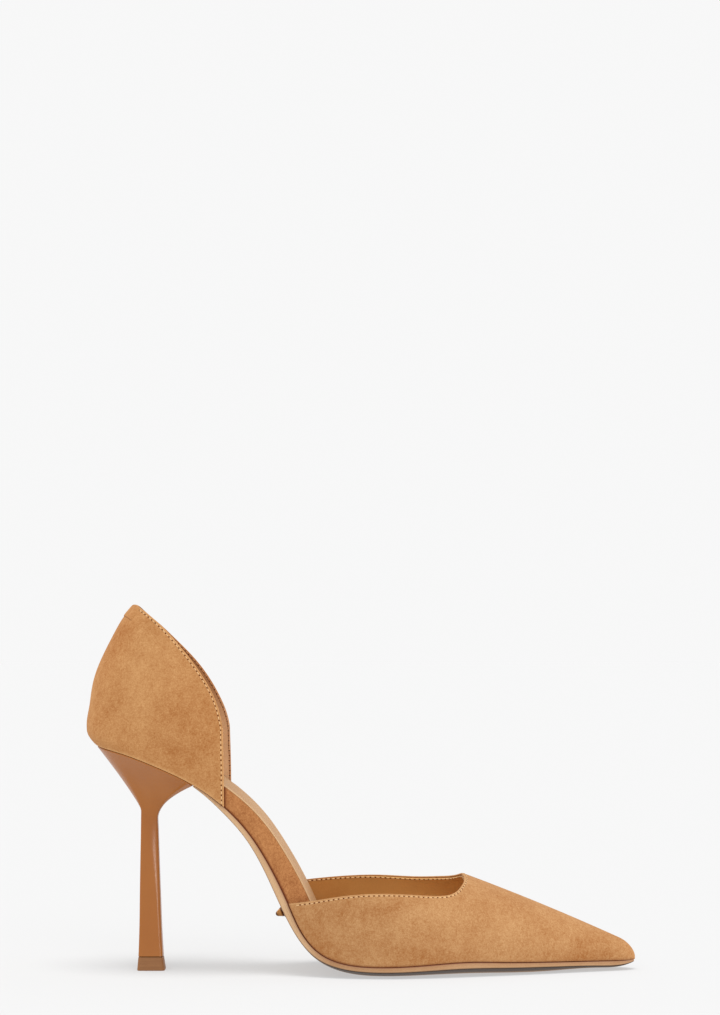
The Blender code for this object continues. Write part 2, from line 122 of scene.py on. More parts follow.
# A section: its place, the profile's normal there, half its width and the table's other columns
Station = namedtuple("Station", "x z nx nz half swing bed edge belly")


def spline(knots, values):
    """A natural cubic spline through the values, as a function of arrays."""
    step = np.diff(knots)
    slope = np.diff(values) / step
    count = len(knots)
    matrix = np.eye(count)
    right = np.zeros(count)
    for i in range(1, count - 1):
        matrix[i, i - 1 : i + 2] = step[i - 1], 2 * (step[i - 1] + step[i]), step[i]
        right[i] = 6 * (slope[i] - slope[i - 1])
    bend = np.linalg.solve(matrix, right)

    def value(at):
        i = np.clip(np.searchsorted(knots, at) - 1, 0, count - 2)
        a, b, h = knots[i + 1] - at, at - knots[i], step[i]
        curve = (bend[i] * a**3 + bend[i + 1] * b**3) / (6 * h)
        return curve + (values[i] / h - bend[i] * h / 6) * a + (values[i + 1] / h - bend[i + 1] * h / 6) * b

    return value


def travel(points):
    """Distance along a row of points."""
    lengths = np.linalg.norm(np.diff(points, axis=0), axis=-1)
    return np.concatenate([[0.0], np.cumsum(lengths)])


def ramp(x, start, end):
    """0 before start, 1 after end, and smooth between."""
    t = np.clip((x - start) / (end - start), 0.0, 1.0)
    return t * t * (3 - 2 * t)


profile = np.stack([LAST["along"] / 100 * LENGTH, LAST["rise"] / 100 * HEEL_HEIGHT], -1)
LAST_S = travel(profile)
profile_x, profile_z = (spline(LAST_S, column) for column in profile.T)
section_curves = [spline(LAST_S, LAST[name] * MM) for name in ("swing", "bed", "edge", "belly")]


def distance(q):
    """Distance along the profile at share q, which crowds towards both ends and so rounds the outline."""
    return LAST_S[-1] * (1 - np.cos(math.pi * q)) / 2


half_width = spline(np.arccos(1 - 2 * LAST_S / LAST_S[-1]) / math.pi, LAST["width"] / 200 * BALL_WIDTH)
Q_SAMPLES = np.linspace(0, 1, 2001)
X_SAMPLES = profile_x(distance(Q_SAMPLES))


def q_at(x):
    """The share q of the section that stands x from the heel back."""
    return np.interp(x, X_SAMPLES, Q_SAMPLES)


def outline_turn(q):
    """Angle of the outline to the shoe's length: a right angle at the heel back, less than 0 to the toe."""
    run = distance(q + TINY) - distance(q - TINY)
    return np.arctan2(half_width(q + TINY) - half_width(q - TINY), run)


def station(q, inset=0.0):
    """The last's sections at q, with their outline drawn in by inset."""
    turn = outline_turn(q)
    s = distance(q) + inset * np.sin(turn)
    dx = profile_x(s + TINY) - profile_x(s - TINY)
    dz = profile_z(s + TINY) - profile_z(s - TINY)
    length = np.hypot(dx, dz)
    half = half_width(q) - inset * np.cos(turn)
    rest = (curve(s) for curve in section_curves)
    return Station(profile_x(s), profile_z(s), -dz / length, dx / length, half, *rest)


def rings(at, under, edge, over):
    """Closed rings of points, one for each section, from the underside round the medial edge and back.

    under and over give a share of the half width and a height, edge a step outwards and a height from below.
    """
    cuts = [(share, 0.0, up) for share, up in under]
    cuts += [(1, out, up) for out, up in edge]
    cuts += [(share, 0.0, up) for share, up in reversed(over)]
    cuts += [(-1, out, up) for out, up in reversed(edge)]
    points = []
    for share, out, up in cuts:
        reach = share * at.half + share * np.maximum(out, -at.half / 2)
        points.append(np.stack([at.x + at.nx * up, at.swing + reach, at.z + at.nz * up], -1))
    return np.stack(points, 1)


def ring_mark(under, edge, over):
    """A mark's values in the order of a ring's points."""
    return np.concatenate([under, edge, over, edge[::-1]])


def quads(index):
    """Faces between the neighbours in a grid of vertex numbers."""
    return np.stack([index[:-1, :-1], index[:-1, 1:], index[1:, 1:], index[1:, :-1]], -1).reshape(-1, 4)


def loft(points):
    """Points and faces of a closed solid through rings."""
    index = np.arange(points.shape[0] * points.shape[1]).reshape(points.shape[:2])
    faces = quads(np.hstack([index, index[:, :1]])).tolist()
    return points.reshape(-1, 3), faces + [index[0].tolist(), index[-1].tolist()]


def add_object(name, data):
    """A new object in the scene."""
    made = bpy.data.objects.new(name, data)
    bpy.context.scene.collection.objects.link(made)
    return made


def add_piece(name, shape, material, sharp=40, **marks):
    """A mesh object of the shoe, with crisp edges past an angle of sharp degrees.

    marks are values for each point, which its material can read.
    """
    points, faces = shape
    mesh = bpy.data.meshes.new(name)
    mesh.from_pydata((points + PLACE).tolist(), [], faces)
    bm = bmesh.new()
    bm.from_mesh(mesh)
    bmesh.ops.recalc_face_normals(bm, faces=bm.faces)
    bm.to_mesh(mesh)
    bm.free()
    mesh.shade_smooth()
    mesh.set_sharp_from_angle(angle=math.radians(sharp))
    mesh.materials.append(material)
    for mark, values in marks.items():
        attribute = mesh.attributes.new(mark, "FLOAT", "POINT")
        attribute.data.foreach_set("value", np.ravel(values).astype(np.float32))
    return add_object(name, mesh)


class Field:
    """What changes over a surface: one output socket of a finish's nodes."""

    def __init__(self, socket):
        self.socket = socket

    def node(self, kind, settings, sockets, output=0):
        """A new node beside this one, with its settings and then its sockets' values or links."""
        tree = self.socket.id_data
        made = tree.nodes.new(kind)
        for name, value in settings.items():
            setattr(made, name, value)
        for name, value in sockets.items():
            if isinstance(value, Field):
                tree.links.new(value.socket, made.inputs[name])
            else:
                made.inputs[name].default_value = value
        return Field(made.outputs[output])

    def math(self, operation, first, second):
        """A Math node on two fields or numbers."""
        return self.node("ShaderNodeMath", {"operation": operation}, {0: first, 1: second})

    def __add__(self, other):
        return self.math("ADD", self, other)

    def __sub__(self, other):
        return self.math("SUBTRACT", self, other)

    def __rsub__(self, other):
        return self.math("SUBTRACT", other, self)

    def __mul__(self, other):
        return self.math("MULTIPLY", self, other)

    def __truediv__(self, other):
        return self.math("DIVIDE", self, other)

    def __rtruediv__(self, other):
        return self.math("DIVIDE", other, self)

    __radd__ = __add__
    __rmul__ = __mul__

    def noise(self, scale, detail=2.0):
        """Soft noise about 0, of one patch in 1 / scale metres."""
        sockets = {"Vector": self, "Scale": scale, "Detail": detail, "Roughness": 0.55}
        return self.node("ShaderNodeTexNoise", {}, sockets) - 0.5

    def mark(self, name):
        """The values of a piece's points."""
        return self.node("ShaderNodeAttribute", {"attribute_name": name}, {}, "Fac")

    def stretched(self, scale):
        """The place with each axis scaled."""
        return self.node("ShaderNodeVectorMath", {"operation": "MULTIPLY"}, {0: self, 1: scale})

    def blend(self, dark, light):
        """Colours from dark at 0 to light at 1."""
        return self.node("ShaderNodeMix", {"data_type": "RGBA"}, {0: self, 6: dark, 7: light}, 2)

    def bump(self, height, depth, strength=1.0):
        """A normal raised by height, which reaches depth."""
        return self.node("ShaderNodeBump", {}, {"Height": height, "Distance": depth, "Strength": strength})

    def feed(self, shader, **sockets):
        """Links fields to the shader's sockets."""
        for name, field in sockets.items():
            self.socket.id_data.links.new(field.socket, shader.inputs[name.replace("_", " ")])


def finish(name, **constants):
    """A material with constants on its shader. Returns it with the shader and the place on the surface."""
    material = bpy.data.materials.new(name)
    material.use_nodes = True
    shader = material.node_tree.nodes["Principled BSDF"]
    for socket, value in constants.items():
        shader.inputs[socket.replace("_", " ")].default_value = value
    return material, shader, Field(material.node_tree.nodes.new("ShaderNodeTexCoord").outputs["Object"])


def colour(red, green, blue):
    """A colour given in the steps of a screen, 0 to 255."""
    return (*(((c / 255 + 0.055) / 1.055) ** 2.4 for c in (red, green, blue)), 1.0)


# Its mark is 1 on the sock's cut edge, partly a painted highlight, and paints light and shade on the linings
def smooth_leather(name, dark, light, roughness):
    """Fine-grained leather with a soft sheen. The mark cut makes it paler, or darker where it is below 0."""
    material, shader, place = finish(name, Specular_IOR_Level=0.25)
    cloud = place.noise(70, 3)
    pebble = place.noise(2600)
    tone = 0.4 + cloud * 0.35 + pebble * 0.35 + place.mark("cut") * 0.4
    rough = roughness + pebble * 0.12
    normal = place.bump(pebble, LEATHER_GRAIN)
    place.feed(shader, Base_Color=tone.blend(dark, light), Roughness=rough, Normal=normal)
    return material


def wrap_height(at):
    """Top of the waist's wrap above the feather edge, thinning out to both tucked ends, or 0 for none."""
    from_back = ramp(at.x, WRAP_BACK, WRAP_BACK + WRAP_TAPER)
    from_front = 1 - ramp(at.x, WRAP_FRONT - WRAP_TAPER, WRAP_FRONT)
    height = WRAP_TIP + (at.bed - SOCK - SOCK_SEAM - WRAP_TIP) * np.minimum(from_back, from_front)
    inside = (at.x > WRAP_BACK - WRAP_STEP / 2) & (at.x < WRAP_FRONT + WRAP_STEP / 2)
    return np.where(inside, height, 0.0)


def insole_rings():
    """The insole's sections, close together where it steps on to the wrap's ends, and its edge's mark."""
    spans = (
        (INSOLE_ENDS[0], q_at(WRAP_BACK - WRAP_STEP)),
        (q_at(WRAP_BACK), q_at(WRAP_FRONT)),
        (q_at(WRAP_FRONT + WRAP_STEP), INSOLE_ENDS[1]),
    )
    q = np.concatenate([np.linspace(*span, count) for span, count in zip(spans, INSOLE_SECTIONS)])
    at = station(q, WALL + 2 * GAP)
    low = wrap_height(at)
    under = [(share, low) for share in INSOLE_SHARES]
    over = [(share, at.bed - SOCK_DISH * (1 - share**2)) for share in INSOLE_SHARES]
    short = ROUND_MIDDLE * SOCK_ROUND
    edge = [(0.0, low), (0.0, at.bed - SOCK_ROUND), (-short, at.bed - short), (-SOCK_ROUND, at.bed)]
    # The sock's cut edge is painted paler: the raw edge's own colour, and partly a painted highlight
    cut = ring_mark(np.zeros(len(under)), np.ones(len(edge)), np.zeros(len(over)))
    return rings(at, under, edge, over), np.tile(cut, len(q))


sock_leather = smooth_leather("sock_leather", colour(160, 112, 64), colour(216, 178, 134), 0.65)
footbed_rings, footbed_pale_edge = insole_rings()
footbed = add_piece("footbed", loft(footbed_rings), sock_leather, cut=footbed_pale_edge)
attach(footbed, "root")
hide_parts("insole")

# Waist wrap: suede drawn over the footbed's edge between the quarter and the vamp and glued down.
# Its nap is brushed upwards, and both ends are skived thin and tucked under the upper.
WRAP_ROUND = 0.4 * MM  # rounding of the top edge
WRAP_SWELL = 0.25 * MM  # how far the padded side stands out half way up
QUARTER_FRONTS = (55.4 * MM, 56.7 * MM)  # the quarter's front edges from the heel back, lateral and medial
WRAP_SHADE = 0.8 * MM  # width of the painted shadow beside them
WRAP_SECTIONS = 140
WRAP_SHARES = np.linspace(-0.9, 0.9, 5)  # places across
WRAP_HEIGHTS = np.linspace(0, 1, 9)  # places up its side, as shares
WRAP_TURNS = np.radians([22, 45, 67, 90])  # places round its top edge
WRAP_BRUSH = (1.0, 1.0, 0.25)  # draws the strokes of the brush out upwards
NAP_HEIGHT = 0.25 * MM  # of the bump
# The brown that the dark lines at joints blend to, mostly painted shade in their gaps
SEAM_SHADE_BROWN = colour(118, 56, 26)


def suede(name, dark, light, streak=(1.0, 1.0, 0.8)):
    """Napped suede: soft clouds, strokes of the brush and a fine grain.

    The mark rub is 1 where an edge is turned and rubbed pale, partly a painted highlight,
    and below 0 where it paints shade inside a fold. seam is 1 in the dark line of a joint, mostly
    painted shade in its gap, and nap is what listed patches add: nap that lies another way, and
    painted shade. streak scales the axes of the strokes.
    """
    sheen = {"Sheen_Weight": 0.15, "Sheen_Roughness": 0.4, "Sheen_Tint": light}
    material, shader, place = finish(name, Roughness=0.92, Specular_IOR_Level=0.2, **sheen)
    cloud = place.noise(24)
    brush = place.stretched(streak)
    stroke = brush.noise(110, 3)
    bristle = brush.noise(380)
    grain = place.noise(1000)
    pile = place.noise(2400)
    soft = cloud * 0.45 + stroke * 0.6 + bristle * 0.45
    fine = grain * 0.75 + pile * 1.1
    tone = 0.5 + soft + fine + place.mark("rub") * 0.4 + place.mark("nap")
    normal = place.bump(grain * 0.6 + pile * 0.4, NAP_HEIGHT, 0.6)
    dyed = place.mark("seam").blend(tone.blend(dark, light), SEAM_SHADE_BROWN)
    place.feed(shader, Base_Color=dyed, Normal=normal)
    return material


def fade(away, width):
    """1 at no distance away, falling off softly over a width."""
    return np.exp(-((away / width) ** 2))


def wrap_rings():
    """The wrap's sections, with a padded side and a rounded top edge, and its mark of painted shade along its
    foot and beside the quarter's front edges.
    """
    at = station(np.linspace(q_at(WRAP_BACK), q_at(WRAP_FRONT), WRAP_SECTIONS), WALL + GAP)
    top = wrap_height(at)
    flat = [(share, 0.0 * top) for share in WRAP_SHARES]
    over = [(share, top) for share in WRAP_SHARES]
    turn = np.minimum(WRAP_ROUND, top / 2)
    edge = []
    for up in WRAP_HEIGHTS:
        edge.append((WRAP_SWELL * (4 * up * (1 - up) - 1), up * (top - turn)))
    for angle in WRAP_TURNS:
        edge.append((-WRAP_SWELL - turn * (1 - math.cos(angle)), top - turn * (1 - math.sin(angle))))
    seam = ring_mark(np.ones(len(flat)), np.arange(len(edge)) == 0, np.zeros(len(over)))
    points = rings(at, flat, edge, over)
    # Painted shadow of the quarter's front edges on the wrap, over the painted shade in the joint at its foot
    front = np.where(points[..., 1] < 0, *QUARTER_FRONTS)
    return points, np.maximum(seam, fade(points[..., 0] - front, WRAP_SHADE))


wrap_suede = suede("wrap_suede", colour(142, 82, 40), colour(208, 146, 92), WRAP_BRUSH)
wrap_points, wrap_painted_shade = wrap_rings()
waist = add_piece("waist_suede", loft(wrap_points), wrap_suede, seam=wrap_painted_shade)
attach(waist, "root")
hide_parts("waist_wrap")

# Vamp: the front of the upper, one piece of tan suede pulled over the last and drawn under at the feather
# edge. Its top edge is skived, folded in and stitched through the leather lining that is glued inside.
THROAT = 156.7 * MM  # front of the top edge, from the heel back
INSTEP_HEIGHT = 40.35 * MM  # the ridge there, above the floor
VAMP_SLOPE = math.radians(22.5)  # of the ridge, down to the toe
VAMP_BOW = 0.8 * MM  # how far the ridge bows up half way to the toe
VAMP_ROUND = 1.9  # exponent of the cross-section, 2 for an ellipse
VAMP_BULGE = 0.055  # how far the sides swell, as a share of the half width
TOE_ROUND = 7.0 * MM  # length of the tip that turns down
TOE_POWER = 2.4  # exponent of its curve, 2 for an ellipse
VAMP_END = 0.9992  # share q where the toe is closed
TOE_COLUMNS = 0.07  # share of the rim whose columns run out at the toe tip
CORNER = 0.006  # share of the rim left off at the back corners
VAMP_GRID = (121, 72)  # columns in each half, and rows
VAMP_LINING_GRID = (61, 40)
SAMPLES = 400  # along a rim or a feather edge
ROW_POWER = 1.6  # a high power crowds the rows at the rim
LATEST_START = 0.9  # of a column's length, where columns are short
TOE_LIMIT = 0.6  # greatest thickness of the wall, as a share of the half width
UPPER_SHARP = 60  # degrees past which an edge of the upper is crisp
SUEDE = 1.1 * MM  # the suede with its stiffener
LINING = (1.14 * MM, 1.6 * MM)  # depths between which the lining lies
LINING_SHARES = (0.8, 0.9)  # the same where the wall has a greatest thickness, as shares of it
LINING_START = 0.3 * MM  # the lining's edge below the rim
FOLD = 0.5 * MM  # radius of the folded rim
TUCK = 0.3 * MM  # how far the foot turns under
TUCK_HEIGHT = 1.3 * MM  # where it starts to
FOLD_THINS = 0.7  # share of what the outer face sinks that the wall loses
THINNEST = 0.1 * MM  # what is left of it at least
FOOT_RUB_AND_HIGHLIGHT_WIDTH = 0.9 * MM  # of a pale line along the foot, rubbed and partly a painted highlight
FOOT_SHADE_WIDTH = 0.6 * MM  # of a dark line of painted shade there, in the joint with the sole
VAMP_FOOT_SHADE = 0.8  # how dark that painted shade is on the vamp
VAMP_SHADE_ENDS = (88.0 * MM, 140.0 * MM)  # the lining is painted darker behind these, as shade, and paler ahead of them, as light
VAMP_PAINTED_TONES = (-0.75, 1.25)  # how pale the lining is painted, before and after them
STITCH_IN = 1.0 * MM  # stitch line from the rim
DIP = 0.14 * MM  # depth of the trough that the stitches pull
DIP_WIDTH = 0.4 * MM
# The vamp's top edge from its back corner to the throat: behind the throat, and above the floor
VAMP_RIM = {
    -1: read("behind up", [
        (74.6, 30.1),
        (64.0, 31.8),
        (50.0, 34.2),
        (36.0, 35.0),
        (20.0, 34.2),
        (10.5, 33.6),
        (6.0, 34.1),
        (3.4, 35.4),
        (1.4, 37.3),
        (0.3, 39.0),
        (0.3, 40.0),
        (0.8, 40.7),
    ]),
    1: read("behind up", [
        (77.2, 35.2),
        (64.0, 36.4),
        (50.0, 37.3),
        (36.0, 37.6),
        (20.0, 37.2),
        (10.0, 37.8),
        (5.0, 38.5),
        (2.4, 39.5),
        (1.3, 40.3),
        (0.8, 40.7),
    ]),
}
# Soft troughs, or ridges where the depth is below 0, pressed in: the side, 0 for both, the middle
# from the heel back and above the floor, the slope from level, half the length and width, and the depth
CREASES = read("side along up slope length width depth", [
    (-1, 98.0, 19.0, -58.0, 11.0, 4.0, 0.28),
    (-1, 106.0, 23.0, -52.0, 12.0, 4.5, -0.2),
    (-1, 122.0, 18.0, -70.0, 9.0, 4.0, 0.16),
    (-1, 152.0, 25.0, -35.0, 14.0, 4.0, 0.16),
    (1, 100.0, 21.0, -56.0, 12.0, 4.5, 0.26),
    (1, 112.0, 23.0, -60.0, 11.0, 4.5, -0.18),
    (1, 150.0, 24.0, -40.0, 13.0, 4.5, 0.16),
])
# Patches where the nap lies another way, placed in the same manner, which also paint shade low on the sides:
# lighter where the tone is above 0
VAMP_NAP_AND_SHADE = read("side along up slope length width tone", [
    (0, 92.0, 12.0, -40.0, 10.0, 6.0, -0.22),
    (0, 92.0, 21.0, 70.0, 7.0, 4.0, -0.15),
    (0, 109.0, 20.0, 20.0, 10.0, 6.0, 0.12),
    (0, 119.0, 28.0, 8.0, 10.0, 2.5, -0.19),
    (0, 132.0, 11.0, -10.0, 12.0, 5.0, -0.15),
    (0, 140.0, 27.0, 0.0, 10.0, 4.0, 0.11),
    (0, 153.0, 9.0, 0.0, 16.0, 3.0, -0.15),
    (0, 172.0, 25.0, -15.0, 13.0, 5.0, 0.05),
    (0, 188.0, 17.0, -12.0, 16.0, 6.0, 0.02),
    (0, 208.0, 12.0, 15.0, 10.0, 5.0, -0.17),
    (0, 206.0, 6.5, 0.0, 16.0, 2.5, -0.19),
])


def ridge(at):
    """Height of the vamp's ridge over a section, turning down to the feather edge at the tip."""
    share = np.clip((at.x - THROAT) / (LENGTH - THROAT), 0.0, 1.0)
    top = INSTEP_HEIGHT + math.tan(VAMP_SLOPE) * (THROAT - at.x) + VAMP_BOW * 4 * share * (1 - share)
    left = np.clip((LENGTH - at.x) / TOE_ROUND, 0.0, 1.0)
    return at.z + (top - at.z) * (1 - (1 - left) ** TOE_POWER) ** (1 / TOE_POWER)


def vamp_point(q, around):
    """The vamp's surface: around runs from -1 at the lateral feather edge over 0 on the ridge to 1."""
    at = station(q)
    turn = (1 - np.abs(around)) * math.pi / 2
    lift = np.sin(turn) ** (2 / VAMP_ROUND)
    across = np.clip(np.cos(turn), 0.0, 1.0) ** (2 / VAMP_ROUND)
    reach = at.half * (across + VAMP_BULGE * 4 * lift * across)
    return np.stack([at.x, at.swing + np.sign(around) * reach, at.z + (ridge(at) - at.z) * lift], -1)


def evenly(points, *values):
    """Values at evenly spaced places along a row of points."""
    along = travel(points)
    targets = np.linspace(0, along[-1], SAMPLES)
    return [np.interp(targets, along, value) for value in values]


def vamp_half(side, share):
    """For one side: q and around of the columns' tops on the rim and of their feet on the feather edge."""
    rim = VAMP_RIM[side]
    knots = travel(np.stack([rim["behind"], rim["up"]], -1))
    places = np.linspace(0, knots[-1], SAMPLES)
    behind, up = (spline(knots, rim[name] * MM)(places) for name in ("behind", "up"))
    q = q_at(THROAT - behind)
    at = station(q)
    lift = np.clip((up - at.z) / (ridge(at) - at.z), 0.0, 1.0)
    around = 1 - np.arcsin(lift ** (VAMP_ROUND / 2)) * 2 / math.pi
    rim_q, rim_around = evenly(vamp_point(q, around * side), q, around)
    feather = np.linspace(q[0], VAMP_END, SAMPLES)
    feather_q = evenly(vamp_point(feather, np.full(SAMPLES, side)), feather)[0]
    steps = np.linspace(0, 1, SAMPLES)
    foot_q = np.interp(share / (1 - TOE_COLUMNS), steps, feather_q)
    foot_around = np.clip((1 - share) / TOE_COLUMNS, 0.0, 1.0)
    return np.interp(share, steps, rim_q), np.interp(share, steps, rim_around), foot_q, foot_around


def vamp_sheet(columns, rows, start=0.0):
    """A grid from start below the vamp's rim to the feather edge, and the greatest thickness of its wall."""
    share = np.linspace(CORNER, 1, columns)
    halves = []
    for side in (-1, 1):
        rim_q, rim_around, foot_q, foot_around = vamp_half(side, share)
        length = np.linalg.norm(vamp_point(rim_q, rim_around) - vamp_point(foot_q, foot_around), axis=-1)
        first = np.clip(start / length, 0.0, LATEST_START)
        t = first + (1 - first) * np.linspace(0, 1, rows)[:, None] ** ROW_POWER
        q = rim_q + (foot_q - rim_q) * t
        around = rim_around + (foot_around - rim_around) * t
        halves.append((vamp_point(q, side * around), TOE_LIMIT * station(q).half))
    return (np.concatenate([lateral, medial[:, -2::-1]], 1) for lateral, medial in zip(*halves))


def unit(vectors):
    """The vectors' directions."""
    return vectors / np.linalg.norm(vectors, axis=-1, keepdims=True)


def normals(grid):
    """Unit normals of a grid of points."""
    return unit(np.cross(np.gradient(grid, axis=0), np.gradient(grid, axis=1)))


def nearness(grid, path):
    """Distance from each point of a grid to the nearest point of a path."""
    return np.array([np.linalg.norm(row[:, None] - path[None], axis=-1).min(1) for row in grid])


def fold_in(away, radius):
    """How far a folded edge of this radius turns in, at a distance away from it."""
    return radius * (1 - np.sqrt(1 - np.clip(1 - away / radius, 0.0, 1.0) ** 2))


def stand_off(rim, foot, tuck):
    """How far folded suede stands off its surface, at distances from its rim and from its foot."""
    under = tuck * np.clip(1 - foot / TUCK_HEIGHT, 0.0, 1.0) ** 2
    return -fold_in(rim, FOLD) - under - DIP * fade(rim - STITCH_IN, DIP_WIDTH)


def spots(grid, table):
    """The sum of a table's soft oval spots at the points of a grid, each as strong as its last column."""
    total = np.zeros(grid.shape[:2])
    for side, along, up, slope, length, width, strength in zip(*table.values()):
        x, z = grid[..., 0] / MM - along, grid[..., 2] / MM - up
        turn = math.radians(slope)
        a = (x * math.cos(turn) + z * math.sin(turn)) / length
        b = (z * math.cos(turn) - x * math.sin(turn)) / width
        total += np.where(grid[..., 1] * side >= 0, strength * np.exp(-(a**2) - b**2), 0.0)
    return total


def slab(outer, inner):
    """Points and faces of a closed wall between two grids of points."""
    index = np.arange(outer.shape[0] * outer.shape[1]).reshape(outer.shape[:2])
    border = np.concatenate([index[0, :-1], index[:-1, -1], index[-1, :0:-1], index[:0:-1, 0]])
    ahead = np.roll(border, -1)
    sides = np.stack([border, ahead, ahead + index.size, border + index.size], -1)
    faces = np.concatenate([quads(index), quads(index + index.size)[:, ::-1], sides])
    return np.concatenate([outer.reshape(-1, 3), inner.reshape(-1, 3)]), faces.tolist()


def suede_wall(grid, rim_path, tuck, nap, limit=math.inf, foot_rub_and_highlight=0.0, foot_shade=0.0):
    """A suede wall on a grid, with a folded rim, and its marks. limit is its greatest thickness.

    The fold is rubbed pale on the outer face, partly a painted highlight, and painted dark inside as shade.
    foot_rub_and_highlight and foot_shade are how strong a pale line, rubbed and partly a painted highlight,
    and a dark line of painted shade along the foot are.
    """
    out = normals(grid)
    rim, foot = nearness(grid, rim_path), nearness(grid, grid[-1])
    off = stand_off(rim, foot, tuck)
    thick = np.minimum(SUEDE, limit) + np.minimum(off, 0.0) * FOLD_THINS
    outer = grid + out * (off - spots(grid, CREASES) * MM)[..., None]
    inner = grid - out * np.maximum(thick, THINNEST)[..., None]
    # Pale along the fold and foot on the outer face, partly a painted highlight; the inner face is painted
    # dark there as shade
    rub = fade(rim, STITCH_IN) + foot_rub_and_highlight * fade(foot, FOOT_RUB_AND_HIGHLIGHT_WIDTH)
    marks = {
        "rub": np.stack([rub, -rub]),
        "nap": np.tile(spots(grid, nap), (2, 1)),
        "seam": np.tile(foot_shade * fade(foot, FOOT_SHADE_WIDTH), (2, 1)),
    }
    return slab(outer, inner), marks


def lining_wall(grid, ends, painted_tones, axis, limit=math.inf):
    """A thin lining inside a suede wall, and how pale it is painted as light and shade, which changes between
    the ends on an axis.
    """
    out = normals(grid)
    near, far = (np.minimum(depth, share * limit)[..., None] for depth, share in zip(LINING, LINING_SHARES))
    shape = slab(grid - out * near, grid - out * far)
    return shape, painted_tones[0] + (painted_tones[1] - painted_tones[0]) * ramp(shape[0][:, axis], *ends)


vamp_suede = suede("vamp_suede", colour(158, 99, 49), colour(202, 156, 107))
vamp_grid, vamp_limit = vamp_sheet(*VAMP_GRID)
vamp_shape, vamp_marks = suede_wall(
    vamp_grid, vamp_grid[0], TUCK, VAMP_NAP_AND_SHADE, limit=vamp_limit, foot_shade=VAMP_FOOT_SHADE
)
vamp = add_piece("vamp_suede", vamp_shape, vamp_suede, UPPER_SHARP, **vamp_marks)
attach(vamp, "root")
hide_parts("vamp")

vamp_leather = smooth_leather("vamp_lining", colour(176, 114, 54), colour(236, 182, 110), 0.45)
vamp_inside, vamp_inside_limit = vamp_sheet(*VAMP_LINING_GRID, LINING_START)
# The vamp's lining is painted darker at the back as shade and paler towards the toe as light
vamp_inside_wall, vamp_painted_shade = lining_wall(vamp_inside, VAMP_SHADE_ENDS, VAMP_PAINTED_TONES, axis=0, limit=vamp_inside_limit)
vamp_lining = add_piece("vamp_lining", vamp_inside_wall, vamp_leather, UPPER_SHARP, cut=vamp_painted_shade)
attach(vamp_lining, "root")

# Vamp's topstitching: a pale thread through suede and lining close under the folded rim.
# Each stitch pulls down between two needle holes, and it shows on the lining's side too.
STITCH_PITCH = 2.1 * MM
INSIDE_STITCH_IN = 0.5 * MM  # from the rim, on the lining
THREAD_LENGTH = 1.5 * MM
THREAD_WIDTH = 0.5 * MM
HOLE_WIDTH = 0.68 * MM
HOLE_DEPTH = 0.25 * MM
VAMP_STITCH_END = 4.0 * MM  # how far the stitches stop short of the corners


def stitch_tree():
    """Nodes that seat thread and needle holes along a path on a surface."""
    tree = bpy.data.node_groups.new("topstitching", "GeometryNodeTree")
    inputs = {"Path": "Geometry", "Surface": "Object", "Thread": "Material", "Hole": "Material"}
    inputs |= dict.fromkeys(("Pitch", "Thread Length", "Thread Width", "Hole Width", "Hole Depth"), "Float")
    for name, kind in inputs.items():
        tree.interface.new_socket(name, in_out="INPUT", socket_type=f"NodeSocket{kind}")
    tree.interface.new_socket("Stitches", in_out="OUTPUT", socket_type="NodeSocketGeometry")
    given = tree.nodes.new("NodeGroupInput").outputs
    size = {name: Field(given[name]) for name in inputs}
    node = size["Path"].node
    line = node("GeometryNodeMeshToCurve", {}, {"Mesh": size["Path"]})
    line = node("GeometryNodeResampleCurve", {"mode": "LENGTH"}, {"Curve": line, "Length": size["Pitch"]})
    surface = node("GeometryNodeObjectInfo", {}, {"Object": size["Surface"]}, "Geometry")
    seat = node("GeometryNodeProximity", {"target_element": "FACES"}, {"Geometry": surface}, "Position")
    line = node("GeometryNodeSetPosition", {}, {"Geometry": line, "Position": seat})
    sample = {"Mesh": surface, "Value": node("GeometryNodeInputNormal", {}, {})}
    out = node("GeometryNodeSampleNearestSurface", {"data_type": "FLOAT_VECTOR"}, sample)
    axes = {"Primary Axis": out, "Secondary Axis": node("GeometryNodeInputTangent", {}, {})}
    turn = node("FunctionNodeAxesToRotation", {"primary_axis": "Z", "secondary_axis": "X"}, axes)
    bead = node("GeometryNodeMeshUVSphere", {}, {"Segments": 10, "Rings": 6, "Radius": 0.5})
    made = []
    for material, sides, shift in (
        ("Thread", ("Thread Length", "Thread Width", "Thread Width"), 0.0),
        ("Hole", ("Hole Width", "Hole Width", "Hole Depth"), 0.5 * size["Pitch"] / size["Hole Width"]),
    ):
        scale = node("ShaderNodeCombineXYZ", {}, {axis: size[side] for axis, side in enumerate(sides)})
        sockets = {"Points": line, "Instance": bead, "Rotation": turn, "Scale": scale}
        row = node("GeometryNodeInstanceOnPoints", {}, sockets)
        step = node("ShaderNodeCombineXYZ", {}, {0: shift})
        row = node("GeometryNodeTranslateInstances", {}, {"Instances": row, "Translation": step})
        row = node("GeometryNodeRealizeInstances", {}, {"Geometry": row})
        row = node("GeometryNodeSetShadeSmooth", {}, {"Geometry": row})
        made.append(node("GeometryNodeSetMaterial", {}, {"Geometry": row, "Material": size[material]}))
    join = tree.nodes.new("GeometryNodeJoinGeometry")
    for row in made:
        tree.links.new(row.socket, join.inputs[0])
    tree.links.new(join.outputs[0], tree.nodes.new("NodeGroupOutput").inputs[0])
    return tree


def inset_path(edge, out, distance_in, lift, end):
    """A path beside an edge, drawn in on the surface, lifted off it and stopped short of the edge's ends."""
    inwards = unit(np.cross(np.gradient(edge, axis=0), out))
    along = travel(edge)
    kept = (along > end) & (along < along[-1] - end)
    return (edge + inwards * distance_in + out * lift)[kept]


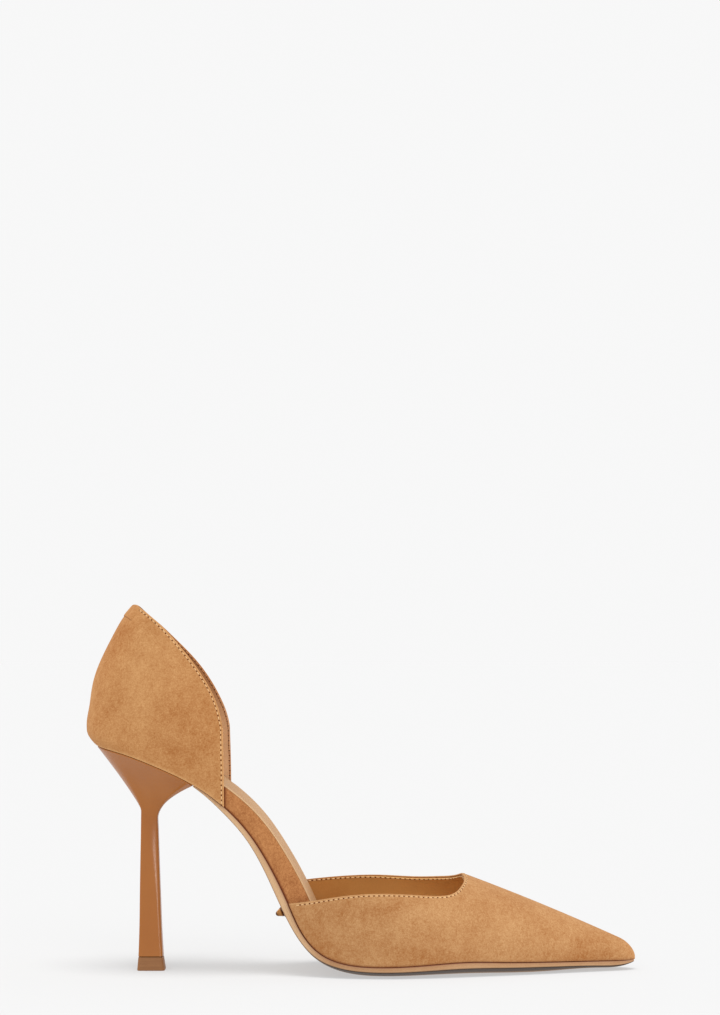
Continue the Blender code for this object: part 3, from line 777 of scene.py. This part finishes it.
def stitched(name, path, surface, thread):
    """A piece with one row of stitches along a path on a surface."""
    mesh = bpy.data.meshes.new(name)
    mesh.from_pydata((path + PLACE).tolist(), [(i, i + 1) for i in range(len(path) - 1)], [])
    piece = add_object(name, mesh)
    nodes = piece.modifiers.new("topstitching", "NODES")
    nodes.node_group = STITCHES
    values = {"Surface": surface, "Thread": thread, "Hole": needle_hole, "Pitch": STITCH_PITCH}
    values |= {"Thread Length": THREAD_LENGTH, "Thread Width": THREAD_WIDTH}
    values |= {"Hole Width": HOLE_WIDTH, "Hole Depth": HOLE_DEPTH}
    for item in STITCHES.interface.items_tree:
        if item.name in values:
            nodes[item.identifier] = values[item.name]
    bpy.context.view_layer.update()
    graph = bpy.context.evaluated_depsgraph_get()
    made = bpy.data.meshes.new_from_object(piece.evaluated_get(graph), depsgraph=graph)
    piece.modifiers.remove(nodes)
    piece.data = made
    return piece


def plain(name, dark, light, roughness):
    """A dull finish with a fine uneven tone."""
    material, shader, place = finish(name, Roughness=roughness, Specular_IOR_Level=0.2)
    place.feed(shader, Base_Color=(0.5 + place.noise(1500)).blend(dark, light))
    return material


def topstitch(part, edge, out, end, rows):
    """Stitches beside an edge, one row on the suede and one on the lining.

    rows gives the surface and the thread of each. out is the suede's normal along the edge.
    """
    names = (f"{part}_stitches", f"{part}_inside_stitches")
    places = ((STITCH_IN, 0.0), (INSIDE_STITCH_IN, -2 * WALL))
    for name, (distance_in, lift), (surface, thread) in zip(names, places, rows):
        stitches = stitched(name, inset_path(edge, out, distance_in, lift, end), surface, thread)
        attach(stitches, "root")


STITCHES = stitch_tree()
pale_thread = plain("pale_thread", colour(206, 158, 104), colour(238, 202, 154), 0.7)
# Needle holes are dark beads that paint the shade inside each hole
needle_hole = plain("needle_hole", colour(78, 36, 14), colour(124, 66, 32), 0.95)
vamp_rows = ((vamp, pale_thread), (vamp_lining, pale_thread))
topstitch("vamp", vamp_grid[0], normals(vamp_grid)[0], VAMP_STITCH_END, vamp_rows)

# Quarter: the back of the upper, suede shaped over a heel stiffener, with a closed seam down the back.
# Its front edges and top edge are folded and stitched like the vamp's, with a tan leather lining inside.
SEAT_TILT = math.radians(24.0)  # of the heel seat, down to the front
BREAST = 43.3 * MM  # the heel's front face, from the heel back
FRONT_EDGE = 26.7 * MM  # the front edges' tops, up the wall
SEAM_DEPTH = 0.14 * MM  # the back seam
SEAM_WIDTH = 0.35 * MM
BACK_SEAM_TONE = 0.4  # how dark it is
QUARTER_TUCK = 0.15 * MM  # how far the foot turns under on the heel
QUARTER_FOOT_RUB_AND_HIGHLIGHT = 1.4  # how pale the line along its foot is, rubbed and partly a painted highlight
QUARTER_STITCH_END = 1.8 * MM  # how far the stitches stop short of the foot
QUARTER_SHADE_ENDS = (100.0 * MM, 125.0 * MM)  # the lining is painted paler near the seat, below these, as light, and darker above, as shade
QUARTER_PAINTED_TONES = (1.0, -0.8)  # how pale it is painted, below and above them
QUARTER_LENGTH = LENGTH / 3  # from the heel back along its side, about
QUARTER_GRID = (76, 72)  # columns in each half, and rows
QUARTER_LINING_GRID = (40, 40)
RIM_HALVINGS = 40  # of the span that the rim's height is searched in
FRONT_SAMPLES = 200  # places tried for a front edge's top
# The wall above the seat: how far it stands outside the feather edge at the back and sides
COUNTER = read("up back side", [
    (0.0, 0.0, 0.0),
    (1.8, 3.6, 0.3),
    (5.0, 6.4, 0.7),
    (8.5, 7.8, 0.9),
    (13.0, 8.9, 1.1),
    (21.0, 11.2, 0.6),
    (29.0, 12.5, -0.8),
    (37.0, 12.6, -2.8),
    (46.0, 12.15, -5.4),
    (55.0, 11.1, -8.4),
    (62.0, 9.0, -10.6),
])
# The top edge in the seat's frame: ahead of the heel back, and above the seat on each side
QUARTER_RIM = read("ahead lateral medial", [
    (-10.4, 58.9, 58.9),
    (-9.5, 59.5, 59.5),
    (-8.4, 59.9, 59.9),
    (-5.6, 59.75, 59.2),
    (3.7, 57.5, 56.1),
    (14.0, 53.45, 52.4),
    (22.0, 49.65, 49.2),
    (32.9, 43.3, 43.2),
    (40.5, 37.2, 37.4),
    (49.8, 24.7, 26.5),
    (61.3, 0.0, 0.0),
])
# Patches of the nap, placed as the vamp's are, which also paint shade low towards the front and light above
QUARTER_NAP_AND_SHADE = read("side along up slope length width tone", [
    (0, 20.0, 126.0, 80.0, 15.0, 6.0, 0.16),
    (0, 31.0, 133.0, -45.0, 9.0, 4.0, 0.13),
    (0, 12.5, 143.5, -20.0, 5.0, 3.0, -0.13),
    (0, -2.0, 118.0, 80.0, 14.0, 3.5, 0.16),
    (0, 9.0, 112.0, 30.0, 5.0, 3.0, -0.10),
    (0, 15.0, 105.0, 0.0, 9.0, 4.0, 0.12),
    (0, 33.0, 111.0, 20.0, 10.0, 5.0, -0.10),
    (0, 44.0, 100.0, 60.0, 15.0, 9.0, -0.23),
    (0, 30.0, 96.0, -22.0, 14.0, 4.0, -0.10),
])


def curves(table, along, names):
    """Splines through columns of a table in millimetres, one for each name."""
    return [spline(table[along] * MM, table[name] * MM) for name in names]


counter_back, counter_side = curves(COUNTER, "up", ("back", "side"))
lateral_rim, medial_rim = curves(QUARTER_RIM, "ahead", ("lateral", "medial"))
SEAT_AHEAD = np.array([math.cos(SEAT_TILT), 0.0, -math.sin(SEAT_TILT)])
SEAT_UP = np.array([math.sin(SEAT_TILT), 0.0, math.cos(SEAT_TILT)])
HEEL_BACK = np.array([0.0, 0.0, HEEL_HEIGHT])


def quarter_point(k, up):
    """The quarter's surface: k is q, below 0 on the lateral side, and up is normal to the seat."""
    q, side = np.abs(k), np.where(k < 0, -1.0, 1.0)
    backward, sideways = np.sin(outline_turn(q)), np.cos(outline_turn(q))
    stand = counter_back(up) * backward**2 + counter_side(up) * sideways**2
    at = station(q)
    foot = np.stack([at.x, at.swing + side * at.half, at.z], -1)
    away = np.stack([0 * side, side * sideways, 0 * side], -1) - SEAT_AHEAD * backward[..., None]
    return foot + SEAT_UP * up[..., None] + away * stand[..., None]


def rim_height(k):
    """How far up the quarter's wall meets its top edge at k."""
    low, high = np.zeros_like(k), np.full_like(k, COUNTER["up"][-1] * MM)
    for _ in range(RIM_HALVINGS):
        up = (low + high) / 2
        from_back = quarter_point(k, up) - HEEL_BACK
        ahead = from_back @ SEAT_AHEAD
        under = from_back @ SEAT_UP < np.where(k > 0, medial_rim(ahead), lateral_rim(ahead))
        low, high = np.where(under, up, low), np.where(under, high, up)
    return low


def front_top(side, front):
    """The share q at which one side's front edge, which stands at front on the sole, meets the rim."""
    q = np.linspace(q_at(BREAST), q_at(front), FRONT_SAMPLES)
    return q[np.argmin(np.abs(rim_height(side * q) - FRONT_EDGE))]


FRONT_FEET = [q_at(front) for front in QUARTER_FRONTS]
FRONT_TOPS = [front_top(side, front) for side, front in zip((-1, 1), QUARTER_FRONTS)]


def crowded(count):
    """Shares from 0 to 1 that crowd at both ends."""
    return ramp(np.linspace(0, 1, count), 0, 1)


def quarter_sheet(columns, rows, start=0.0):
    """A grid of points over the quarter, its rows from start below the top edge to the feather edge."""
    side = crowded(columns) * (1 - start / QUARTER_LENGTH)
    across = np.concatenate([side[:0:-1], -side])
    feet, tops = (across * np.where(across < 0, *ends) for ends in (FRONT_FEET, FRONT_TOPS))
    height = rim_height(tops)
    up = (1 - crowded(rows))[:, None] * (1 - start / height)
    return quarter_point(feet + (tops - feet) * up, height * up)


def rim_of(grid):
    """A grid's values up its medial front edge, along its top and down its lateral front edge."""
    return np.concatenate([grid[:0:-1, 0], grid[0], grid[1:, -1]])


quarter_suede = suede("quarter_suede", colour(162, 100, 48), colour(206, 155, 102))
quarter_grid = quarter_sheet(*QUARTER_GRID)
quarter_out = normals(quarter_grid)
back_seam = fade(quarter_grid[..., 1], SEAM_WIDTH)
quarter_seamed = quarter_grid - quarter_out * (SEAM_DEPTH * back_seam)[..., None]
quarter_shape, quarter_marks = suede_wall(
    quarter_seamed, rim_of(quarter_grid), QUARTER_TUCK, QUARTER_NAP_AND_SHADE, foot_rub_and_highlight=QUARTER_FOOT_RUB_AND_HIGHLIGHT
)
quarter_marks["seam"] = np.tile(BACK_SEAM_TONE * back_seam, (2, 1))
quarter = add_piece("quarter_suede", quarter_shape, quarter_suede, UPPER_SHARP, **quarter_marks)
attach(quarter, "root")
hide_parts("quarter")

quarter_leather = smooth_leather("quarter_lining", colour(172, 120, 74), colour(234, 192, 148), 0.5)
quarter_inside = quarter_sheet(*QUARTER_LINING_GRID, LINING_START)
# The quarter's lining is painted paler low near the seat as light and darker above as shade
quarter_inside_wall, quarter_painted_shade = lining_wall(quarter_inside, QUARTER_SHADE_ENDS, QUARTER_PAINTED_TONES, axis=2)
quarter_lining = add_piece(
    "quarter_lining", quarter_inside_wall, quarter_leather, UPPER_SHARP, cut=quarter_painted_shade
)
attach(quarter_lining, "root")

# A darker copy of the pale thread: painted shade for the stitches on the quarter's lining side
brown_thread = plain("brown_thread", colour(148, 94, 54), colour(180, 124, 78), 0.7)
quarter_rows = ((quarter, pale_thread), (quarter_lining, brown_thread))
topstitch("quarter", rim_of(quarter_grid), rim_of(quarter_out), QUARTER_STITCH_END, quarter_rows)

# Back tab: a small suede patch that covers the top of the back seam, skived at its edges and glued on.
# Its upper edge is turned in with the quarter's rim.
TAB_HALF_WIDTH = 7.5 * MM
TAB_LENGTH = 6.5 * MM
TAB_THICKNESS = 0.35 * MM
TAB_SKIVE = (2.0 * MM, 0.5 * MM)  # widths over which its sides and foot thin out
TAB_FOLD = 1.1 * MM  # radius of the turned upper edge
TAB_SEAM_SHADE = 0.35 * MM  # width of the painted shadow under its step along its foot
TAB_SEAM_SHADE_TONE = 0.6  # how dark that painted shadow is
TAB_SINK = 0.1 * MM  # how far its underside lies in the quarter
TAB_GRID = (41, 31)  # columns and rows


def tab_wall():
    """The tab's wall on the quarter, thin at its sides and foot, and its marks."""
    reach = Q_SAMPLES[np.argmax(half_width(Q_SAMPLES) > TAB_HALF_WIDTH)]
    columns, rows = TAB_GRID
    k = np.tile(np.linspace(reach, -reach, columns), (rows, 1))
    down = np.linspace(0, TAB_LENGTH, rows)[:, None]
    grid = quarter_point(k, rim_height(k[0]) - down)
    side, foot = nearness(grid, np.concatenate([grid[:, 0], grid[:, -1]])), nearness(grid, grid[-1])
    skived = np.clip(np.minimum(side / TAB_SKIVE[0], foot / TAB_SKIVE[1]), 0.0, 1.0)
    fold = fold_in(down, TAB_FOLD)
    thick = TAB_THICKNESS * np.sqrt(1 - (1 - skived) ** 2)
    out = normals(grid)
    shape = slab(grid + out * (thick - fold)[..., None], grid - out * (fold + TAB_SINK)[..., None])
    # Painted shadow under the tab's step along its foot
    seam = TAB_SEAM_SHADE_TONE * fade(foot, TAB_SEAM_SHADE)
    return shape, {"nap": np.tile(spots(grid, QUARTER_NAP_AND_SHADE), (2, 1)), "seam": np.tile(seam, (2, 1))}


tab_shape, tab_marks = tab_wall()
tab = add_piece("tab_suede", tab_shape, quarter_suede, UPPER_SHARP, **tab_marks)
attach(tab, "root")
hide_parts("back_tab")

# Outsole: a thin leather sole from the heel's breast to the toe, glued under the lasted upper.
# Its trimmed edge is burnished and ironed with a fine line, and the waist's edge is drawn in.
SOLE_INSET_WAIST = 1.5 * MM  # its edge inside the feather edge
SOLE_INSET_TOE = 0.5 * MM
SOLE_WAIST_END = (78.0 * MM, 104.0 * MM)  # the waist runs out between these, from the heel back
SOLE_TOE_START = 198.0 * MM
SOLE_END = 0.992  # share q of the last section
CUP_INSET = 0.8 * MM  # the heel's cup inside the feather edge
BELLY_POWER = 4  # a high power keeps the sole flat across and lifts only its edges
SOLE_SECTIONS = 240
SOLE_SHARES = np.sin(np.linspace(-1, 1, 25) * math.pi / 2 * 0.93)  # places across, crowded at the edges
SOLE_SEAM = 0.06 * MM  # left open under the upper
SEAM_SHADE_HEIGHT = (0.78, 0.97)  # shares of the edge's height between which its dark top line, painted shade of the joint, begins
BEVEL_SHADE_SHARES = (0.7, 0.9)  # the painted shade on the bevel under the edge starts between these
BEVEL_SHADE_HEIGHT = (0.03, 0.2)  # and ends between these shares of the edge's height
SOLE_GRAIN = 0.05 * MM  # height of the leather's grain
# The edge from below: how far it stands out, and its height as percent of the edge's thickness
SOLE_EDGE = read("out up", [
    (-0.50, 0.0),
    (-0.22, 4.0),
    (-0.06, 12.0),
    (0.00, 24.0),
    (0.00, 50.0),
    (-0.09, 54.0),
    (-0.09, 58.0),
    (0.00, 62.0),
    (0.00, 86.0),
    (-0.08, 94.0),
    (-0.25, 100.0),
])


def sole_rings():
    """The outsole's sections from the breast line to the toe."""
    q = np.linspace(q_at(BREAST - CUP_INSET + GAP), SOLE_END, SOLE_SECTIONS)
    x = profile_x(distance(q))
    waist = SOLE_INSET_WAIST * (1 - ramp(x, *SOLE_WAIST_END))
    at = station(q, waist + SOLE_INSET_TOE * ramp(x, SOLE_TOE_START, LENGTH))
    foot = -GAP - at.edge
    under = [(share, foot - at.belly * (1 - share**BELLY_POWER)) for share in SOLE_SHARES]
    over = [(share, 0 * foot - SOLE_SEAM) for share in SOLE_SHARES]
    edge = [(out * MM, foot - (foot + SOLE_SEAM) * up / 100) for out, up in zip(*SOLE_EDGE.values())]
    points = rings(at, under, edge, over)
    points[..., 2] = np.maximum(points[..., 2], 0.0)
    return points


def sole_leather(name, dark, light, stain):
    """Smooth sole leather with fine lines along its trimmed edge.

    The mark layer runs from 0 below to 1 above and draws the lines. stain is 1 where painted shade darkens
    the bevel under the edge, seam is 1 in the dark line of painted shade at the joint, and waist is 1
    where the edge is left pale.
    """
    material, shader, place = finish(name, Specular_IOR_Level=0.45)
    fibre = place.node("ShaderNodeCombineXYZ", {}, {0: place.mark("layer")})
    lines = fibre.noise(14, 3)
    cloud = place.noise(60, 3)
    grain = place.noise(2000)
    tone = 0.3 + lines * 0.9 + cloud * 0.5 + grain * 0.3 + place.mark("waist") * 0.4
    rough = 0.5 + grain * 0.15
    tan = tone.blend(dark, light)
    dyed = place.mark("seam").blend(place.mark("stain").blend(tan, stain), SEAM_SHADE_BROWN)
    place.feed(shader, Base_Color=dyed, Roughness=rough, Normal=place.bump(grain, SOLE_GRAIN))
    return material


sole_height = SOLE_EDGE["up"] / 100
sole_bare = 0 * SOLE_SHARES
sole_layer = ring_mark(sole_bare, sole_height, sole_bare + 1)
sole_bevel = ramp(np.abs(SOLE_SHARES), *BEVEL_SHADE_SHARES)
sole_bevel_shade = ring_mark(sole_bevel, 1 - ramp(sole_height, *BEVEL_SHADE_HEIGHT), sole_bare)
sole_seam_shade = ring_mark(sole_bare, ramp(sole_height, *SEAM_SHADE_HEIGHT), sole_bare + 1)
sole_points = sole_rings()
sole_forefoot = ramp(sole_points[..., 0], *SOLE_WAIST_END)
sole_marks = {
    "layer": np.tile(sole_layer, SOLE_SECTIONS),
    "stain": sole_bevel_shade * sole_forefoot,
    "seam": np.tile(sole_seam_shade, SOLE_SECTIONS),
    "waist": 1 - sole_forefoot,
}
# The third colour is the painted shade on the bevel under the forefoot's edge
sole_tan = sole_leather("sole_leather", colour(158, 108, 64), colour(224, 186, 142), colour(78, 62, 52))
sole = add_piece("sole_leather", loft(sole_points), sole_tan, sharp=35, **sole_marks)
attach(sole, "root")
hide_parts("outsole")

# Heel: a moulded stiletto under a glossy tan cover, screwed up through the seat.
# Its stem has trimmed corners and sides that round to the front, and it opens into a cup under the seat.
LIP = 0.6 * MM  # the upright edge at the top of the cup
LIP_ROUND = 0.25 * MM
NECK_RISE = 3.5 * MM  # how much higher the neck is at its back
NECK_START = 55.0 * MM  # height at which the neck starts to slope
RING = 160  # points round the heel
CORNER_TRIM = 0.1  # the trimmed corners, as a share of the half width
CORNER_POWER = 30  # a high power makes crisp edges beside the trimmed corners
CORNER_ENDS = (57, 62)  # the points between which the trimmed front corner lies
BREAST_TRIM = 1.8 * MM  # the same corner's trim at the seat
SEAT_INSET = (0.4 * MM, 1.1 * MM)  # the top edge inside the feather edge, at the sides and at the back
SEAT_BACK_POINTS = 14  # points from the back in which that changes
STEM_RINGS = 40
CUP_RINGS = 32
HEEL_SEAM = 0.05 * MM  # left open under the upper
COVER_SKIN = 0.03 * MM  # height of the cover's unevenness
# The cup above the stem opens along power curves: 1 is straight, more is hollow
CUP_POWER = {"back": 1.12, "side": 1.5, "front": 2.2}
# The stem above the top piece: its back and front from the heel back, its half width, how far from the front
# its sides round, and what that takes off the half width there
STEM = read("up back front half_width round drawn", [
    (6.0, 18.5, 28.9, 4.9, 1.2, 0.35),
    (15.0, 18.8, 28.35, 4.6, 1.5, 0.42),
    (30.0, 19.0, 27.75, 4.2, 2.3, 0.62),
    (46.0, 19.2, 27.15, 4.0, 3.9, 0.95),
    (58.0, 19.4, 26.75, 4.0, 5.0, 1.0),
    (64.0, 19.5, 26.5, 4.1, 5.4, 0.6),
])
STEM_SIZES = ("back", "front", "half_width", "round", "drawn")
FRONT_SIZE = np.array([name == "front" for name in STEM_SIZES])
ring_angle = math.pi * (2 * np.arange(RING) + 1) / RING


def stem_ring(z, sizes, grow=0.0):
    """A level ring with trimmed corners and sides drawn in to the front, grown all round by grow.

    It runs from the middle of the back round the lateral side.
    """
    back, front, half, length, drawn = sizes
    c, s = -np.cos(ring_angle), -np.sin(ring_angle)
    spread = np.stack([np.abs(c), np.abs(s), (np.abs(c) + np.abs(s)) / (2 - CORNER_TRIM)])
    size = (spread**CORNER_POWER).sum(0) ** (1 / CORNER_POWER)
    x = (back + front) / 2 + ((front - back) / 2 + grow) * c / size
    narrow = drawn * np.clip(1 + (x - front - grow) / length, 0.0, 1.0) ** 2
    return np.stack([x, (half + grow - narrow) * s / size, np.full(RING, z)], -1)


def seat_ring(inset, drop):
    """The last's outline from the back to the trimmed corner and straight across, lowered by drop."""
    i = np.arange(RING // 2)
    trim = np.clip((i - CORNER_ENDS[0]) / (CORNER_ENDS[1] - CORNER_ENDS[0]), 0.0, 1.0)
    side_end, breast = q_at(BREAST - CUP_INSET - BREAST_TRIM), q_at(BREAST - CUP_INSET)
    q = side_end * np.minimum((i + 0.5) / (CORNER_ENDS[0] + 0.5), 1.0) + (breast - side_end) * trim
    at = station(q, inset)
    across = 1 - np.clip((i - CORNER_ENDS[1]) / (RING / 2 - 0.5 - CORNER_ENDS[1]), 0.0, 1.0)
    reach = (at.half - BREAST_TRIM * trim) * across
    points = np.stack([at.x - at.nx * drop, at.swing - reach, at.z - at.nz * drop], -1)
    return np.concatenate([points, points[::-1] * (1, -1, 1)])


def heel_rings():
    """The heel's sections from the top piece up to the seat."""
    stem_curves = curves(STEM, "up", STEM_SIZES)
    levels = np.linspace(STEM["up"][0], STEM["up"][-1], STEM_RINGS) * MM
    made = []
    for z in levels:
        sizes = [curve(z) for curve in stem_curves]
        back, front = sizes[:2]
        ring = stem_ring(z, sizes)
        rise = NECK_RISE * ramp(z, NECK_START, levels[-1])
        ring[:, 2] += rise * (front - ring[:, 0]) / (front - back)
        made.append(ring)
    from_back = fade(np.arange(RING // 2), SEAT_BACK_POINTS)
    top_inset = SEAT_INSET[0] + (SEAT_INSET[1] - SEAT_INSET[0]) * from_back
    neck, lip = made[-1], seat_ring(top_inset, LIP)
    along = np.cos(ring_angle)
    end = np.where(along > 0, CUP_POWER["back"], CUP_POWER["front"])
    power = CUP_POWER["side"] + (end - CUP_POWER["side"]) * along**2
    for level in np.linspace(0, 1, CUP_RINGS + 1)[1:]:
        ring = neck + (lip - neck) * (level**power)[:, None]
        ring[:, 2] = neck[:, 2] + (lip[:, 2] - neck[:, 2]) * level
        made.append(ring)
    made.append(seat_ring(top_inset, LIP_ROUND))
    made.append(seat_ring(top_inset + LIP_ROUND, HEEL_SEAM))
    return np.stack(made)


def lacquer(name, dark, light):
    """A glossy cover with a faint unevenness."""
    material, shader, place = finish(name, Coat_Roughness=0.2, Coat_Weight=0.4, Specular_IOR_Level=0.05)
    cloud = place.noise(50)
    skin = place.noise(700)
    rough = 0.42 + skin * 0.08
    tone = 0.5 + cloud * 0.8
    normal = place.bump(skin, COVER_SKIN)
    place.feed(shader, Base_Color=tone.blend(dark, light), Roughness=rough, Normal=normal)
    return material


heel_cover = lacquer("heel_cover", colour(157, 94, 43), colour(178, 113, 56))
heel = add_piece("heel_cover", loft(heel_rings()), heel_cover)
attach(heel, "root")
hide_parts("heel")

# Top piece: a block of hard brown rubber pinned under the stem, which takes the wear.
# Its sides are trimmed flush with the stem and flare a little to the floor, more so at the front.
TOP_PIECE_HEIGHT = 5.7 * MM
TOP_PIECE_FLARE = 0.5 * MM  # how far it flares at the floor
TOP_PIECE_FRONT = 0.4 * MM  # how much more its front flares
TOP_PIECE_ROUND = 0.25 * MM  # of its eased edges
TOP_PIECE_LEVELS = np.linspace(1.0 * MM, TOP_PIECE_HEIGHT - TOP_PIECE_ROUND, 6)  # between them
TRIM_LINES = 0.06 * MM  # depth of the lines that trimming leaves


def top_piece_rings():
    """The block's sections from the floor up, with eased edges."""
    sizes = np.array([STEM[name][0] * MM for name in STEM_SIZES])
    made = []
    for z in (0.0, TOP_PIECE_ROUND, *TOP_PIECE_LEVELS, TOP_PIECE_HEIGHT):
        share = 1 - z / TOP_PIECE_HEIGHT
        grow = TOP_PIECE_FLARE * share
        if z in (0.0, TOP_PIECE_HEIGHT):
            grow -= TOP_PIECE_ROUND
        made.append(stem_ring(z, sizes + FRONT_SIZE * TOP_PIECE_FRONT * share, grow))
    return np.stack(made)


def hard_rubber(name, dark, light):
    """Dull rubber with the fine level lines that trimming leaves."""
    material, shader, place = finish(name, Specular_IOR_Level=0.35)
    lines = place.stretched((0.05, 0.05, 1.0)).noise(1800)
    grain = place.noise(1500)
    tone = 0.5 + lines * 0.8 + grain * 0.4
    rough = 0.6 + grain * 0.2
    normal = place.bump(lines, TRIM_LINES)
    place.feed(shader, Base_Color=tone.blend(dark, light), Roughness=rough, Normal=normal)
    return material


heel_rubber = hard_rubber("heel_rubber", colour(130, 84, 48), colour(160, 112, 70))
heel_tip = add_piece("heel_tip", loft(top_piece_rings()), heel_rubber)
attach(heel_tip, "root")
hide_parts("top_piece")

# Sole stud: a small turned stud of dark brass, riveted in the middle of the waist.
# It is a plain cone on a low collar.
STUD_AT = 83.8 * MM  # from the heel back
STUD_SIDES = 40
# The stud's outline: height off the sole and radius, and how dark it is painted, as a share: patina at the
# collar, then a pale band of painted highlight on the cone, painted darker again towards the tip
STUD_OUTLINE = read("up radius patina", [
    (0.0, 2.4, 1.0),
    (0.1, 2.6, 1.0),
    (0.5, 2.6, 1.0),
    (0.65, 2.4, 1.0),
    (0.75, 2.1, 1.0),
    (1.1, 2.0, 0.7),
    (1.7, 1.71, 0.0),
    (2.7, 1.24, 0.1),
    (3.3, 0.95, 0.5),
    (3.65, 0.65, 0.8),
    (3.8, 0.3, 0.8),
])


def stud_rings():
    """The stud's rings, square to the sole."""
    at = station(q_at(STUD_AT))
    out = -np.array([at.nx, 0.0, at.nz])
    along = np.array([at.nz, 0.0, -at.nx])
    foot = np.array([at.x, at.swing, at.z]) + out * (2 * GAP + at.edge + at.belly)
    angle = np.linspace(0, 2 * math.pi, STUD_SIDES, endpoint=False)[:, None]
    circle = along * np.cos(angle) + np.array([0.0, 1.0, 0.0]) * np.sin(angle)
    steps = zip(STUD_OUTLINE["up"] * MM, STUD_OUTLINE["radius"] * MM)
    return np.stack([foot + out * up + circle * radius for up, radius in steps])


def dark_brass(name, dark, light):
    """Aged brass, darker in patches and where the mark patina is 1, which is patina and the dark about a
    painted highlight.
    """
    material, shader, place = finish(name, Metallic=1.0)
    cloud = place.noise(900, 3)
    rough = 0.35 + cloud * 0.2
    tone = 0.9 + cloud * 0.8 - place.mark("patina")
    place.feed(shader, Base_Color=tone.blend(dark, light), Roughness=rough)
    return material


stud_brass = dark_brass("stud_brass", colour(70, 28, 8), colour(190, 136, 80))
stud_patina_and_highlight = np.repeat(STUD_OUTLINE["patina"], STUD_SIDES)
stud = add_piece("stud_brass", loft(stud_rings()), stud_brass, sharp=30, patina=stud_patina_and_highlight)
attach(stud, "root")
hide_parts("sole_stud")

# Stage: a pale floor that runs out into an even white surround. Two soft suns light the floor alone, and
# its own glow makes up what the surround's tone still needs. Three soft boxes light the shoe, and a fourth
# draws a line of gloss on the heel. The camera looks at the lateral side from a little above the floor.
FLOOR_REACH = 6.0  # from the middle to the floor's edges
SURROUND = 0.935  # the white's tone
FLOOR_TONE = np.array([0.202, 0.20, 0.199])  # a little warm, which evens out the tan light from the shoe
# The floor's own lights: strength, spread, and how far they tilt from overhead to the camera's side
FLOOR_LIGHTS = {
    "overhead": {"strength": 3.6, "spread": math.radians(30.0), "tilt": math.radians(9.0)},
    "low_front": {"strength": 1.4, "spread": math.radians(50.0), "tilt": math.radians(60.0)},
}
FLOOR_LIGHT = sum(light["strength"] * math.cos(light["tilt"]) for light in FLOOR_LIGHTS.values()) / math.pi
SOFT_BOXES = {
    "soft_box_front": {"at": (-0.3, -1.1, 1.2), "aim": (0.0, 0.0, 0.05), "size": 0.9, "power": 5.0},
    "soft_box_side": {"at": (1.1, -0.1, 0.25), "aim": (0.0, 0.0, 0.05), "size": 0.5, "power": 5.0},
    "soft_box_back": {"at": (-0.9, 0.3, 0.8), "aim": (0.0, 0.0, 0.08), "size": 0.6, "power": 2.5},
}
HEEL_BOX = {"at": (0.51, -1.12, 0.09), "aim": (-0.09, 0.0, 0.05), "size": 0.25, "power": 3.4}
CAMERA_AT = Vector((-0.0004, -1.4, 0.160))
CAMERA_AIM = Vector((-0.0004, 0.0, 0.196))
VIEW_HEIGHT = 0.4321  # height of the picture at the shoe's middle
SENSOR = 36.0  # the film along the longer side of the picture, in millimetres

floor_mesh = bpy.data.meshes.new("floor")
corners = [(x * FLOOR_REACH, y * FLOOR_REACH, 0.0) for x, y in ((-1, -1), (1, -1), (1, 1), (-1, 1))]
floor_mesh.from_pydata(corners, [], [(0, 1, 2, 3)])
floor_white = finish(
    "floor_white",
    Base_Color=(*FLOOR_TONE, 1.0),
    Roughness=1.0,
    Specular_IOR_Level=0.0,
    Emission_Color=(*(SURROUND - FLOOR_TONE * (SURROUND + FLOOR_LIGHT)), 1.0),
    Emission_Strength=1.0,
)[0]
floor_mesh.materials.append(floor_white)
floor = add_object("floor", floor_mesh)
floor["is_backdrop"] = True

world = bpy.data.worlds.new("surround")
world.use_nodes = True
world.node_tree.nodes["Background"].inputs["Color"].default_value = (SURROUND, SURROUND, SURROUND, 1.0)
bpy.context.scene.world = world
bpy.context.scene.view_settings.view_transform = "Standard"


def add_lamp(light, receivers):
    """A lamp object for a light, which falls on the receivers alone."""
    lamp = add_object(light.name, light)
    lit = bpy.data.collections.new(f"lit_by_{light.name}")
    for receiver in receivers:
        lit.objects.link(receiver)
    lamp.light_linking.receiver_collection = lit
    return lamp


def turn_to(thing, at, aim):
    """Puts a lamp or a camera at a place and turns it to what it is aimed at."""
    thing.location = at
    thing.rotation_euler = (Vector(aim) - Vector(at)).to_track_quat("-Z", "Y").to_euler()


def add_soft_box(name, box, receivers):
    """A square lamp for the receivers alone."""
    light = bpy.data.lights.new(name, "AREA")
    light.size = box["size"]
    light.energy = box["power"]
    lamp = add_lamp(light, receivers)
    turn_to(lamp, box["at"], box["aim"])
    return lamp


for name, settings in FLOOR_LIGHTS.items():
    light = bpy.data.lights.new(name, "SUN")
    light.energy = settings["strength"]
    light.angle = settings["spread"]
    add_lamp(light, [floor]).rotation_euler.x = settings["tilt"]
for name, box in SOFT_BOXES.items():
    add_soft_box(name, box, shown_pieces())
add_soft_box("soft_box_heel", HEEL_BOX, [heel]).visible_diffuse = False

camera = add_object("camera", bpy.data.cameras.new("camera"))
turn_to(camera, CAMERA_AT, CAMERA_AIM)
camera.data.sensor_width = SENSOR
camera.data.lens = SENSOR * abs(CAMERA_AT.y) / VIEW_HEIGHT
bpy.context.scene.camera = camera
